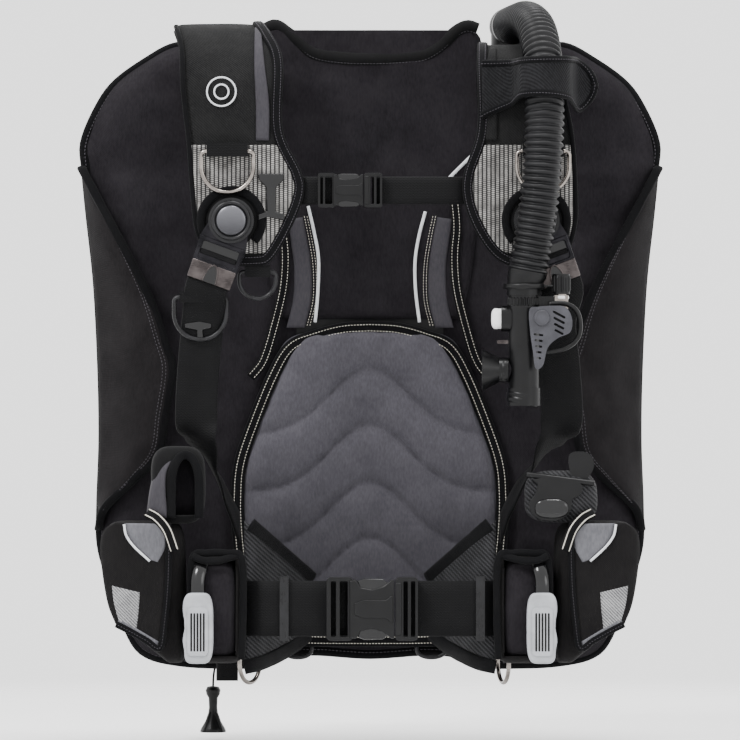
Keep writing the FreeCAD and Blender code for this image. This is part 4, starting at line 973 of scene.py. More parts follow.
def upper_panel():
    count = 80
    first = side_points(flip(UPPER_EDGE, -1), count)
    second = side_points(UPPER_EDGE, count)
    face = lambda x, z, u, v: upper_y(x, z)
    mesh = panel("upper_panel_skin", first, second, face, 6.0, across=60, round_in=0.03)
    skin = make("upper_panel_skin", mesh, "cell_cloth")
    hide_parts("upper_back_panel")
    lines = {
        "piping_right": [(-57, 116), (-51.5, 92), (-47.5, 68), (-48, 38), (-50.5, 9)],
        "piping_left": [(51, 111), (45, 88), (41.5, 65), (42, 38), (45.5, 9)],
        "piping_upper_left": [(100.5, 169), (88, 157), (76, 145), (65, 133.5)],
        "piping_upper_right": [(-103, 166), (-92, 153), (-80, 141), (-72, 134)],
    }
    for name, line in lines.items():
        piping(name, on_face(line, lambda x, z: upper_y(x, z) - 2.6, 3.0))
    for name, side in SIDES:
        strip(name, side)


def strip(name, side):
    """The grey satin strip beside the middle panel, with the black tape and double stitching outside it."""
    inner = flip([(62, 106), (57.5, 84), (54, 60), (54, 30), (60, 4)], side)
    outer = flip([(76, 104), (73, 82), (70, 60), (71, 30), (77, 4)], side)
    count = 40
    first, second = side_points(inner, count), side_points(outer, count)
    face = lambda x, z: upper_y(x, z) - 1.4
    crowned = lambda x, z, u, v: face(x, z) - 0.7 * math.sin(math.pi * u)
    mesh = panel(f"satin_strip_{name}", first, second, crowned, 1.6, across=8, round_in=0.2)
    make(f"satin_strip_{name}", mesh, "satin_strip")
    tape = flip([(78, 122), (80, 96), (78, 70), (80, 40), (88, 6), (98, -26), (110, -42)], side)
    path = on_face(tape, lambda x, z: upper_y(x, z) - 2.2, 3.5)
    binding(f"harness_tape_{name}", path, width=9.0)
    rows = [lifted(beside(path, d), 1.7) for d in (-2.6, 2.6)]
    stitches(f"harness_tape_stitches_{name}", rows, pitch=2.8, length=1.8, radius=0.38)
    edge_rows = [on_face([(x + side * d, z) for x, z in inner], lambda x, z: face(x, z) - 0.9, 3.0)
                 for d in (-4.2, -1.6)]
    stitches(f"satin_strip_stitches_{name}", edge_rows, pitch=2.6, length=1.6, radius=0.34)


# ---- Lumbar pad ----------------------------------------------------------------
LUMBAR_HALF = [(0, 9), (30, 7.5), (55, 1), (78, -9), (94, -40), (112, -84), (124, -120), (127, -150),
               (126, -185), (121, -225), (112, -262), (98, -281), (70, -287), (0, -288)]
LUMBAR_DENSE = side_points(LUMBAR_HALF, 140)
CHEVRON_PEAKS = (-33, -85, -138, -189, -240)
CHEVRON_DROP, CHEVRON_SPREAD = 62.0, 52.0
LUMBAR_BACK_Y, LUMBAR_FACE_Y = -113.0, -121.0
LUMBAR_PUFF, LUMBAR_FILL = 8.2, 0.9


def seam_z(peak, x):
    return peak - CHEVRON_DROP * (1 - math.exp(-(x / CHEVRON_SPREAD) ** 2))


def chevron_puff(x, z):
    """0 on a chevron seam and 1 midway between two."""
    lines = [14.0] + [seam_z(peak, x) for peak in CHEVRON_PEAKS] + [-330.0]
    for upper, lower in zip(lines, lines[1:]):
        if lower <= z <= upper:
            t = (z - lower) / (upper - lower)
            return (4 * t * (1 - t)) ** 0.36
    return 0.0


def lumbar_width(z):
    """Half the pad's width at that height."""
    for (x0, z0), (x1, z1) in zip(LUMBAR_DENSE, LUMBAR_DENSE[1:]):
        if z1 <= z <= z0 and z0 > z1:
            return lerp(x0, x1, (z0 - z) / (z0 - z1))
    return LUMBAR_DENSE[0][0] if z > 0 else LUMBAR_DENSE[-1][0]


def lumbar_y(x, z):
    """The quilted face: swelling between the seams, puckered where it meets them."""
    puff = chevron_puff(x, z) * ease((lumbar_width(z) - 8 - abs(x)) / 12)
    puff *= ease((6 - z) / 12) * ease((z + 286) / 12)
    pucker = wobble(x * 2.3, 3, z * 0.55, 24.0, 11.0) * (1 - puff) * 1.5
    pucker += wobble(x, 1, z, 30.0, 13.0) * 1.1 * puff
    fine = wobble(x * 1.6, 0, z, 9.0, 17.0) * 0.45
    return LUMBAR_FACE_Y - LUMBAR_PUFF * puff * LUMBAR_FILL - pucker - fine


def lumbar_pad():
    count = 170
    first = side_points(flip(LUMBAR_HALF, -1), count)
    second = side_points(LUMBAR_HALF, count)
    face = lambda x, z, u, v: lumbar_y(x, z)
    thick = LUMBAR_BACK_Y - LUMBAR_FACE_Y
    mesh = panel("lumbar_quilt", first, second, face, thick, across=110, round_in=0.045)
    mesh = puffed(mesh, "lumbar_puffing", lumbar_pin, pressure=3.2, reach=5.0)
    quilt = make("lumbar_quilt", mesh, "lumbar_cloth")
    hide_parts("lumbar_pad")
    seams = []
    for peak in CHEVRON_PEAKS:
        row = []
        for k in range(61):
            x = lerp(-108, 108, k / 60)
            z = seam_z(peak, x)
            if abs(x) < lumbar_width(z) - 9 and z > -284:
                row.append(Vector((x, LUMBAR_FACE_Y - 0.6, z)))
        seams.append(row)
    stitches("lumbar_seams", seams, pitch=2.6, length=2.0, radius=0.45, finish="dark_thread")
    edge = [(max(x - 5, 0), z - (5 if z > -20 else -4 if z < -260 else 0)) for x, z in LUMBAR_HALF]
    left = on_face(edge, lambda x, z: LUMBAR_FACE_Y - 2.6, 4.0)
    path = [Vector((-p.x, p.y, p.z)) for p in reversed(left[1:])] + left
    binding("lumbar_binding", path, width=12.5)
    rows = [lifted(beside(path, d), 1.9) for d in (-2.9, 2.9)]
    stitches("lumbar_binding_stitches", rows, pitch=2.8, length=1.9, radius=0.42)


def lumbar_pin(place):
    """Held vertices: on the seams, round the rim and at the back."""
    x, y, z = place / MM
    return chevron_puff(x, z) < 0.35 or y > LUMBAR_FACE_Y + 1.5 or abs(x) > lumbar_width(z) - 9


def puffed(mesh, name, held, pressure, reach, frames=14):
    """The mesh blown up softly as cloth from the inside. None of it moves further than reach mm."""
    probe = bpy.data.objects.new(name, mesh)
    bpy.context.scene.collection.objects.link(probe)
    group = probe.vertex_groups.new(name="held")
    group.add([v.index for v in mesh.vertices if held(v.co)], 1.0, "REPLACE")
    swell = probe.modifiers.new("swell", "CLOTH")
    settings = swell.settings
    settings.quality = 4
    settings.mass = 0.2
    settings.tension_stiffness = settings.compression_stiffness = 12
    settings.bending_stiffness = 0.4
    settings.use_pressure = True
    settings.uniform_pressure_force = pressure
    settings.vertex_group_mass = "held"
    settings.effector_weights.gravity = 0
    swell.collision_settings.use_collision = False
    swell.point_cache.frame_start, swell.point_cache.frame_end = 1, frames
    for frame_number in range(1, frames + 1):
        bpy.context.scene.frame_set(frame_number)
    seen = probe.evaluated_get(bpy.context.evaluated_depsgraph_get())
    moved = [v.co.copy() for v in seen.data.vertices]
    for vertex, place in zip(mesh.vertices, moved):
        step = place - vertex.co
        if step.length > reach * MM:
            step = step.normalized() * reach * MM
        vertex.co = vertex.co + step
    bpy.data.objects.remove(probe)
    bpy.context.scene.frame_set(1)
    return mesh


air_cell()
back_seams()
for side_name, side in SIDES:
    wing(side_name, side)
collar()
upper_panel()
lumbar_pad()


# ---- Shoulder pads -------------------------------------------------------------
PAD_FACE_Y, PAD_REAR_FACE_Y, PAD_THICKNESS, PAD_FOOT_Z, PAD_LOW_Z = -250.0, -121.0, 13.0, 205.0, 60.0
PAD_TOP = {"right": 281.0, "left": 262.0}
PAD_OUTER = {
    "right": [(-180, 285), (-172, 256), (-170, 216), (-165, 172), (-161, 119), (-157, 90), (-146, 70),
              (-128, 60)],
    "left": [(180, 285), (172, 256), (176, 216), (184, 172), (187, 119), (186, 95), (178, 72), (158, 60)],
}
PAD_INNER = {
    "right": [(-102, 285), (-90, 268), (-80, 243), (-80, 181), (-63, 142), (-61, 124), (-71, 97), (-88, 68),
              (-104, 60)],
    "left": [(102, 285), (100, 268), (98, 243), (98, 181), (86, 142), (86, 118), (96, 92), (112, 70),
             (132, 60)], }
for edges in (PAD_OUTER, PAD_INNER):
    for side_name, _ in SIDES:
        edges[side_name] = side_points(edges[side_name], 60)


def x_at(chain, z):
    """Where an edge that runs down from its first point crosses that height."""
    for (x0, z0), (x1, z1) in zip(chain, chain[1:]):
        if z1 <= z <= z0:
            return lerp(x0, x1, (z0 - z) / (z0 - z1))
    return chain[0][0] if z > chain[0][1] else chain[-1][0]


def circle_through(a, b, c):
    """Centre and radius of the circle through three (y, z) points."""
    (ax, ay), (bx, by), (cx, cy) = a, b, c
    d = 2 * (ax * (by - cy) + bx * (cy - ay) + cx * (ay - by))
    squares = [x * x + y * y for x, y in (a, b, c)]
    ux = (squares[0] * (by - cy) + squares[1] * (cy - ay) + squares[2] * (ay - by)) / d
    uy = (squares[0] * (cx - bx) + squares[1] * (ax - cx) + squares[2] * (bx - ax)) / d
    return (ux, uy), math.hypot(ax - ux, ay - uy)


def pad_arc(side):
    middle_y = (PAD_FACE_Y + PAD_REAR_FACE_Y) / 2
    return circle_through((PAD_REAR_FACE_Y, PAD_FOOT_Z + 15), (middle_y, PAD_TOP[side]),
                          (PAD_FACE_Y, PAD_FOOT_Z))


def pad_face(side, z):
    """y of the pad's front face at that height."""
    if z <= PAD_FOOT_Z:
        return PAD_FACE_Y
    (cy, cz), radius = pad_arc(side)
    return cy - math.sqrt(max(radius ** 2 - (z - cz) ** 2, 0))


def pad_line(side):
    """(y, z) points of the face and their normals, from its front lower end to the rear foot."""
    (cy, cz), radius = pad_arc(side)
    out = []
    for k in range(70):
        z = lerp(PAD_LOW_Z, PAD_FOOT_Z, k / 70)
        out.append((PAD_FACE_Y, z, -1.0, 0.0))
    start = math.atan2(PAD_FOOT_Z - cz, PAD_FACE_Y - cy) % TURN
    stop = math.atan2(PAD_FOOT_Z + 15 - cz, PAD_REAR_FACE_Y - cy) % TURN
    for k in range(71):
        angle = lerp(start, stop, k / 70)
        out.append((cy + radius * math.cos(angle), cz + radius * math.sin(angle), math.cos(angle),
                    math.sin(angle)))
    for k in range(1, 8):
        out.append((PAD_REAR_FACE_Y, PAD_FOOT_Z + 15 - 15 * k / 7, 1.0, 0.0))
    return out


def shoulder_pad(name, side):
    line = pad_line(name)
    across = 34
    points = []
    rows = len(line)
    for layer in (0, 1):
        for j, (y, z, ny, nz) in enumerate(line):
            for i in range(across + 1):
                u = i / across
                x = lerp(x_at(PAD_OUTER[name], z), x_at(PAD_INNER[name], z), u)
                near = rim(min(u, 1 - u), 0.1) * rim(min(j, rows - 1 - j) / rows, 0.03)
                soft = 0.9 * wobble(x, y, z, 34.0, 3.3) - 0.8 * (2 * u - 1) ** 2
                depth = PAD_THICKNESS / 2
                out = depth * max(near, 0.03) * (1 if layer == 0 else -1)
                shift = (out - depth) + (soft - 0.6 if layer == 0 else 0)
                points.append((x, y + ny * shift, z + nz * shift))
    pad = make(f"shoulder_pad_{name}_skin", mesh_of("pad", points, shell_faces(rows, across + 1)),
               "pad_cloth")
    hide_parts(f"shoulder_pad_{name}")
    pad_edges(name)
    pad_weave(name, side)


def pad_edge_path(name, chain, inset, low, high):
    """A line along the pad's edge, at its face, with the face's normals."""
    path, ups = [], []
    for y, z, ny, nz in pad_line(name):
        if y > -160 or z < low or z > high:
            continue
        toward = -1 if chain is PAD_INNER[name] else 1
        sign = -1 if name == "right" else 1
        x = x_at(chain, z) - sign * toward * inset
        path.append(Vector((x, y + ny * 0.2, z + nz * 0.2)))
        ups.append(Vector((0, ny, nz)))
    return path, ups


def pad_edges(name):
    """Tape round the pad: wide on the neck side and round the lower end, narrow outside."""
    sign = -1 if name == "right" else 1
    inner, inner_ups = pad_edge_path(name, PAD_INNER[name], 3.4, 64, 282)
    foot_outer = PAD_OUTER[name][-8]
    inner, inner_ups = inner[::-1], inner_ups[::-1]
    turn = [Vector((lerp(PAD_INNER[name][-1][0], PAD_OUTER[name][-1][0], t), PAD_FACE_Y - 0.2,
                    PAD_LOW_Z + 3.6))
            for t in (0.25, 0.6, 1.0)]
    turn.append(Vector((foot_outer[0] - sign * 3, PAD_FACE_Y - 0.2, foot_outer[1] + 2)))
    whole = even(inner + turn, 3.0)
    ups = [Vector((0, -1, 0)) if p.z < PAD_FOOT_Z else nearest_up(p, inner, inner_ups) for p in whole]
    profile = [(a * 1.05, u) for a, u in BINDING_PROFILE]
    make(f"pad_tape_{name}", sweep(f"pad_tape_{name}", whole, ups, profile), "binding")
    rows = [[q + up * 1.6 for q, up in zip(beside_ups(whole, ups, d), ups)] for d in (-2.7, 2.7)]
    stitches(f"pad_tape_stitches_{name}", rows, pitch=2.6, length=1.8, radius=0.34, finish="dark_thread")
    outer, outer_ups = pad_edge_path(name, PAD_OUTER[name], 1.6, 74, 278)
    slim = [(a * 0.5, u * 0.8) for a, u in BINDING_PROFILE]
    make(f"pad_rim_{name}", sweep(f"pad_rim_{name}", outer, outer_ups, slim), "binding")


def nearest_up(place, path, ups):
    return min(zip(path, ups), key=lambda pair: (pair[0] - place).length)[1]


def beside_ups(path, ups, distance):
    out = []
    for i, p in enumerate(path):
        run = (path[min(i + 1, len(path) - 1)] - path[max(i - 1, 0)]).normalized()
        out.append(p + run.cross(ups[i]).normalized() * distance)
    return out


WEAVE_TOP, WEAVE_LOW = 168.0, 70.0
ARCH_RADIUS = 27.5


def pad_weave(name, side):
    """The silver woven panel, the grey strip above it, and the taped arch over the swivel."""
    count = 50
    first, second = [], []
    for k in range(count):
        z = lerp(WEAVE_TOP, WEAVE_LOW, k / (count - 1))
        first.append((x_at(PAD_OUTER[name], z) - side * 2.6, z))
        second.append((x_at(PAD_INNER[name], z) + side * 7.0, z))
    face = lambda x, z, u, v: PAD_FACE_Y - 1.35 - 0.5 * wobble(x, 0, z, 22.0, 1.0)
    make(f"silver_panel_{name}",
         panel(f"silver_panel_{name}", first, second, face, 1.6, across=30, round_in=0.02),
         "silver_weave")
    x_high, x_low = (102, 96) if name == "right" else (112, 108)
    strip_inner = [(side * (x_high - 3.0), 276), (side * (x_high - 7), 240), (side * (x_low - 5), 205),
                   (side * (x_low - 5), 172)]
    strip_outer = [(side * (x_high + 2.5), 276), (side * (x_high + 2.5), 240), (side * (x_low + 7), 205),
                   (side * (x_low + 7), 172)]
    top = PAD_TOP[name] - 3.5
    cut = lambda points: [(x, min(z, top)) for x, z in points]
    mesh = panel(f"grey_strip_{name}", side_points(cut(strip_inner), 40), side_points(cut(strip_outer), 40),
                 lambda x, z, u, v: pad_face(name, z) - 1.5, 1.8, across=8, round_in=0.15)
    make(f"grey_strip_{name}", mesh, "satin_strip" if name == "right" else "pad_cloth")
    centre_x, centre_z = (-125.0, 99.5) if name == "right" else (150.0, 99.5)
    arch = []
    for k in range(33):
        angle = math.radians(lerp(205, -42, k / 32)) if side < 0 else math.radians(lerp(-25, 222, k / 32))
        arch.append(Vector((centre_x + ARCH_RADIUS * math.cos(angle), PAD_FACE_Y - 2.4,
                            centre_z + ARCH_RADIUS * math.sin(angle))))
    arch = [p for p in arch if PAD_LOW_Z + 6 < p.z and
            min(x_at(PAD_OUTER[name], p.z), x_at(PAD_INNER[name], p.z)) + 3 < p.x
            < max(x_at(PAD_OUTER[name], p.z), x_at(PAD_INNER[name], p.z)) - 3]
    binding(f"swivel_arch_{name}", arch, width=8.0)
    ground = turned(f"swivel_ground_{name}", (centre_x, PAD_FACE_Y - 1.2, centre_z), FORWARD,
                    [(-0.6, 24), (0.8, 24), (1.1, 22)], sides=48)
    make(f"swivel_ground_{name}", ground, "neoprene")


def emblem():
    """A badge of two plain rings, one inside the other."""
    y = pad_face("right", 216) - 1.0
    centre = Vector((-134, y, 216))
    ring = [centre + Vector((13.0 * math.cos(TURN * k / 48), 0, 13.0 * math.sin(TURN * k / 48)))
            for k in range(48)]
    flat = [(0.8, -0.3), (0.7, 0.25), (-0.7, 0.25), (-0.8, -0.3)]
    tilt = Vector((0, -1, 0.12)).normalized()
    outer = sweep("badge_ring", ring, tilt, flat, closed=True)
    small = [centre + (p - centre) * 0.5 for p in ring]
    inner = sweep("badge_inner", small, tilt, flat, closed=True)
    make("badge_rings", join_meshes("badge_rings", [outer, inner]), "piping")


for side_name, side in SIDES:
    shoulder_pad(side_name, side)
emblem()


# ---- Hose flap -----------------------------------------------------------------
FLAP_SECTION = [(101, -252.4), (116, -253.2), (128, -260), (132.6, -276), (137, -294), (147, -303.5),
                (157, -306.4),
                (167, -303.5), (177, -294), (181.4, -276), (186, -260), (194, -254), (203, -253.2)]


def flap_edges(t):
    """Lower and upper edge heights along the flap: arched below, with a round outer end."""
    end = math.sqrt(max(0.0, 1 - max(0.0, (t - 0.84) / 0.16) ** 2))
    low = 191 + 17 * math.sin(math.pi * min(t / 0.9, 1)) ** 0.8 + 4 * t
    high = 247 - 3 * (1 - t)
    middle = lerp(low, high, 0.5)
    return lerp(middle, low, end), lerp(middle, high, end)


def hose_flap():
    section = spread([(x, y, 0) for x, y in FLAP_SECTION], 1.6)
    count, tall = len(section), 26
    normals = []
    for i in range(count):
        run = section[min(i + 1, count - 1)] - section[max(i - 1, 0)]
        normals.append(Vector((run.y, -run.x, 0)).normalized())
    points = []
    for layer in (0, 1):
        for i, p in enumerate(section):
            low, high = flap_edges(i / (count - 1))
            for j in range(tall + 1):
                w = j / tall
                thick = 1.5 * max(rim(min(w, 1 - w), 0.08), 0.1)
                out = normals[i] * (thick if layer == 0 else -thick)
                points.append((p.x + out.x, p.y + out.y, lerp(low, high, w)))
    mesh = mesh_of("hose_flap_skin", points, shell_faces(count, tall + 1))
    flap = make("hose_flap_skin", mesh, "flap_twill")
    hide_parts("hose_flap")
    for label, end in (("lower", 0), ("upper", 1)):
        path, ups = [], []
        for i, p in enumerate(section):
            z = flap_edges(i / (count - 1))[end]
            inset = 3.0 if end == 0 else -3.0
            path.append(Vector((p.x, p.y, z + inset)) + normals[i] * 1.0)
            ups.append(normals[i])
        profile = [(a * 0.72, u * 0.8) for a, u in BINDING_PROFILE]
        make(f"hose_flap_{label}_tape", sweep(f"hose_flap_{label}_tape", path, ups, profile), "binding")
        row = [p + up * 1.4 for p, up in zip(path, ups)]
        stitches(f"hose_flap_{label}_stitches", [row], pitch=2.8, length=1.9, radius=0.34,
                 finish="dark_thread")


hose_flap()


# ---- Webbing -------------------------------------------------------------------
def ribbon(name, stations, width, thick=2.2, step=4.0):
    """Webbing through (centre, across) stations."""
    path = spread([c for c, _ in stations], step)
    ups = []
    lengths = [0.0]
    for (a, _), (b, _) in zip(stations, stations[1:]):
        lengths.append(lengths[-1] + (Vector(b) - Vector(a)).length)
    total = lengths[-1]
    for i, p in enumerate(path):
        target = total * i / (len(path) - 1)
        k = max(j for j in range(len(lengths) - 1) if lengths[j] <= target + 1e-6)
        t = (target - lengths[k]) / (lengths[k + 1] - lengths[k])
        across = Vector(stations[k][1]).lerp(Vector(stations[k + 1][1]), ease(t)).normalized()
        run = (path[min(i + 1, len(path) - 1)] - path[max(i - 1, 0)]).normalized()
        ups.append(across.cross(run).normalized())
    return sweep(name, path, ups, strap_profile(width, thick))


def shoulder_straps():
    for name, sign in SIDES:
        out = 0 if name == "right" else 16
        foot_x = 125 + 20.5 if name == "right" else 150 + 20.5
        stations = [
            ((foot_x, -259.5, 46), (0.94, 0, 0.34)),
            ((foot_x + 3, -257.5, 34), (0.95, 0, 0.3)),
            ((151 + out, -249, 8), (1, 0, 0.1)),
            ((155 + out, -245, -35), (1, 0, 0)),
            ((157 + out, -243, -80), (1, 0, 0.1)),
            ((153 + out * 0.7, -236, -100), (0.8, 0.55, 0.25)),
            ((145 + out * 0.4, -220, -120), (0.35, 0.8, 0.5)),
            ((131, -184, -152), (0.1, 0.75, 0.66)),
            ((120, -152, -180), (0, 0.7, 0.7)),
        ]
        stations = [((sign * c[0], c[1], c[2]), (sign * a[0], a[1], a[2])) for c, a in stations]
        strap = make(f"shoulder_webbing_{name}", ribbon(f"shoulder_webbing_{name}", stations, 38.0),
                     "webbing", None)
        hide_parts(f"shoulder_strap_{name}")
        sign * foot_x * MM
        sign * (157 + out) * MM
        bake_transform(strap)


def belt_piece(name, node, spans, width, z, y):
    """Straight webbing between x limits, with its ends bent back."""
    meshes = []
    for k, (x0, x1, drop0, drop1) in enumerate(spans):
        path = []
        for i in range(25):
            t = i / 24
            x = lerp(x0, x1, t)
            back = drop0 * (1 - ease(t * 4)) + drop1 * ease(t * 4 - 3)
            path.append(Vector((x, y + back + 0.5 * wobble(x, 0, z, 30.0, 2.0), z)))
        meshes.append(sweep(f"{name}_{k}", path, FORWARD, strap_profile(width, 2.2)))
    strap = make(name, join_meshes(name, meshes), "webbing")
    if node:
        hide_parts(node)
    return strap


shoulder_straps()
belt_piece("chest_strap", "chest_webbing", [(-70, -12, 5, 0), (2, 92, 0, 5)], 25.0, 127.0, -246.1)
belt_piece("waist_belt", "waist_webbing", [(-122, -20, 14, 0), (25, 122, 0, 14)], 50.0, -249.0, -281.6)


# ---- Hips ----------------------------------------------------------------------
def bag_mesh(name, x_range, y_range, z_range, squareness=0.32, window=None, soft=1.4, seed=0.0):
    """A sewn box with round corners and slack walls. window(x, y, z) marks what is left open."""
    around, tall = 72, 44
    cx, cy, cz = (sum(r) / 2 for r in (x_range, y_range, z_range))
    a, b, c = ((max(r) - min(r)) / 2 for r in (x_range, y_range, z_range))
    power = lambda v: math.copysign(abs(v) ** squareness, v)
    points = []
    for j in range(tall + 1):
        phi = math.pi * (j / tall - 0.5)
        for i in range(around):
            theta = TURN * i / around
            x = a * power(math.cos(phi)) * power(math.cos(theta))
            y = b * power(math.cos(phi)) * power(math.sin(theta))
            z = c * power(math.sin(phi))
            pull = 1 - soft / min(a, b) * (0.5 + 0.5 * wobble(x, y, z, 30.0, seed + 1.5))
            points.append((cx + x * pull, cy + y * pull, cz + z * (1 - 0.3 / c)))
    faces = []
    for j in range(tall):
        for i in range(around):
            m = (i + 1) % around
            face = (j * around + i, j * around + m, (j + 1) * around + m, (j + 1) * around + i)
            middle = [sum(points[k][axis] for k in face) / 4 for axis in range(3)]
            if not (window and window(*middle)):
                faces.append(face)
    return welded(mesh_of(name, points, faces), 0.05)


def walled(piece, thick):
    wall = piece.modifiers.new("wall", "SOLIDIFY")
    wall.thickness = thick * MM
    wall.offset = -1
    return piece


POCKET_FACE_Y = -292.0


def flap_face(x, z):
    """The pocket flap's face: crowned, and bent back at the outer edge."""
    outward = max(0.0, (abs(x) - 222) / 20)
    slack = 0.9 * wobble(x, 0, z, 24.0, 6.6)
    return POCKET_FACE_Y - 4.6 - 1.6 * math.sin(math.pi * min(max((abs(x) - 176) / 66, 0),
                                                              1)) + 9 * outward ** 2 - slack


FLAP_INNER = [(181, -172), (180, -196), (181, -230), (184, -262), (188, -284)]
FLAP_OUTER = [(228, -171.5), (238, -178), (242, -192), (240, -216), (235, -244), (228, -262)]


def patch(name, side, first, second, finish, body, lift, thick=1.2, rows=30, across=10):
    """A thin piece sewn on the pocket flap."""
    face = lambda x, z, u, v: flap_face(x, z) - lift
    mesh = panel(name, side_points(flip(first, side), rows), side_points(flip(second, side), rows), face,
                 thick, across=across, round_in=0.06)
    return make(name, mesh, finish, body)


POCKET_CUT = [(-299, 184), (-292, 190), (-259, 229), (-230, 233), (-200, 242), (-171, 242)]
POCKET_INNER_X = 166.0


def cut_back(mesh):
    """Draws the pocket's outer wall in towards its foot, along the flap's outer edge."""
    for vertex in mesh.vertices:
        x, z = vertex.co.x / MM, vertex.co.z / MM
        for (z0, limit0), (z1, limit1) in zip(POCKET_CUT, POCKET_CUT[1:]):
            if z0 <= z <= z1:
                limit = lerp(limit0, limit1, (z - z0) / (z1 - z0))
                share = (limit - POCKET_INNER_X) / (POCKET_CUT[-1][1] - POCKET_INNER_X)
                x = math.copysign(POCKET_INNER_X + (abs(x) - POCKET_INNER_X) * share, x)
                break
        vertex.co.x = x * MM
    return mesh


def pocket(name, side):
    window = lambda x, y, z: y < -284 and -237 < z < -180 and 185 < abs(x) < 238
    x_range = tuple(sorted((side * 166, side * 242)))
    bag = bag_mesh("bag", x_range, (-292, -182), (-299, -171), window=window, seed=side)
    bag = make(f"pocket_{name}_bag", cut_back(bag), "pocket_cloth")
    walled(bag, 2.4)
    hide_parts(f"pocket_{name}")
    body = f"flap_{name}"
    flap = patch(f"pocket_flap_{name}_face", side, FLAP_INNER, FLAP_OUTER, "pocket_cloth", body, 0.0, 3.4,
                 50, 24)
    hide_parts(f"pocket_flap_{name}")
    grey_in = [(181, -172.5), (181, -184), (184, -196), (190, -207)]
    grey_out = [(219, -172), (217, -182), (210, -192), (196, -205)]
    patch(f"pocket_{name}_grey_panel", side, grey_in, grey_out, "grey_panel", body, 0.9)
    patch(f"pocket_{name}_mesh_panel", side, [(206, -234), (207, -250), (209, -268)],
          [(231, -228), (229, -244), (224, -262)], "pale_mesh", body, 0.8)
    patch(f"pocket_{name}_lower_band", side, [(189, -278), (190, -284)], [(224, -257), (227, -262)],
          "grey_panel",
          body, 1.0, rows=8)
    line = on_face(flip([(220, -173), (218, -183), (211, -193), (197, -206)], side),
                   lambda x, z: flap_face(x, z) - 1.2, 2.5)
    trim = piping(f"pocket_{name}_piping", line, radius=1.1)
    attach(trim, body)
    edge = on_face(flip(FLAP_INNER + [(200, -277), (216, -268), (227, -262.5)], side),
                   lambda x, z: flap_face(x, z) - 1.2, 3.0)
    binding(f"pocket_{name}_flap_tape", edge, width=6.0, body=body)
    edge = [p + FORWARD * 1.6 for p in edge]
    stitches(f"pocket_{name}_flap_stitches", [edge], pitch=2.7, length=1.8, radius=0.32, finish="dark_thread",
             body=body)
    band = [Vector((side * x, y, z)) for x, y, z in
            [(199, -291, -163), (190, -297.5, -168), (181, -300, -179), (174.5, -299, -197)]]
    band = spread(band, 2.5)
    up = Vector((0.3 * side, -0.8, 0.5)).normalized()
    binding(f"pocket_{name}_band", band, up, width=9.5, body=body)
    for label, distance in (("a", -3.1), ("b", 3.1)):
        line = [p + up * 1.6 for p in beside(band, distance, up)]
        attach(piping(f"pocket_{name}_band_piping_{label}", line, up, 0.6, "thread"), body)


SLEEVE_FRONT_Y = -296.0


def pouch(name, side):
    x_range = tuple(sorted((side * 113, side * 161)))
    window = lambda x, y, z: y < -286 and 119 < abs(x) < 156 and -293 < z < -204
    sleeve = make(f"pouch_sleeve_{name}_bag",
                  bag_mesh("sleeve", x_range, (-296, -190), (-299, -198), 0.3, window, seed=3 + side),
                  "pocket_cloth")
    walled(sleeve, 2.2)
    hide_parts("pouch_sleeves")
    body = f"weight_{name}"
    inner = tuple(sorted((side * 117, side * 157)))
    filled = make(f"weight_pouch_{name}_bag",
                  bag_mesh("pouch", inner, (-298, -200), (-295, -203), 0.45, soft=2.2,
                                                     seed=5 + side), "cell_cloth", body)
    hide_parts(f"weight_pouch_{name}")
    rim_line = [(115, -294), (113.5, -250), (115, -204), (128, -199), (146, -199), (159, -204), (160.5, -250),
                (159, -290)]
    path = on_face(flip(rim_line, side), lambda x, z: SLEEVE_FRONT_Y + 1.0, 3.0)
    binding(f"pouch_sleeve_{name}_tape", path, width=6.5)
    lid = [Vector((side * x, y, z)) for x, y, z in
           [(116, -293, -200), (126, -297, -203), (138, -299, -205.5), (150, -299, -205), (159, -297, -201)]]
    lid = spread(lid, 3.0)
    binding(f"pouch_{name}_lid_tape", lid, Vector((0, -0.9, 0.4)), width=6.5)
    grip(name, side, body)


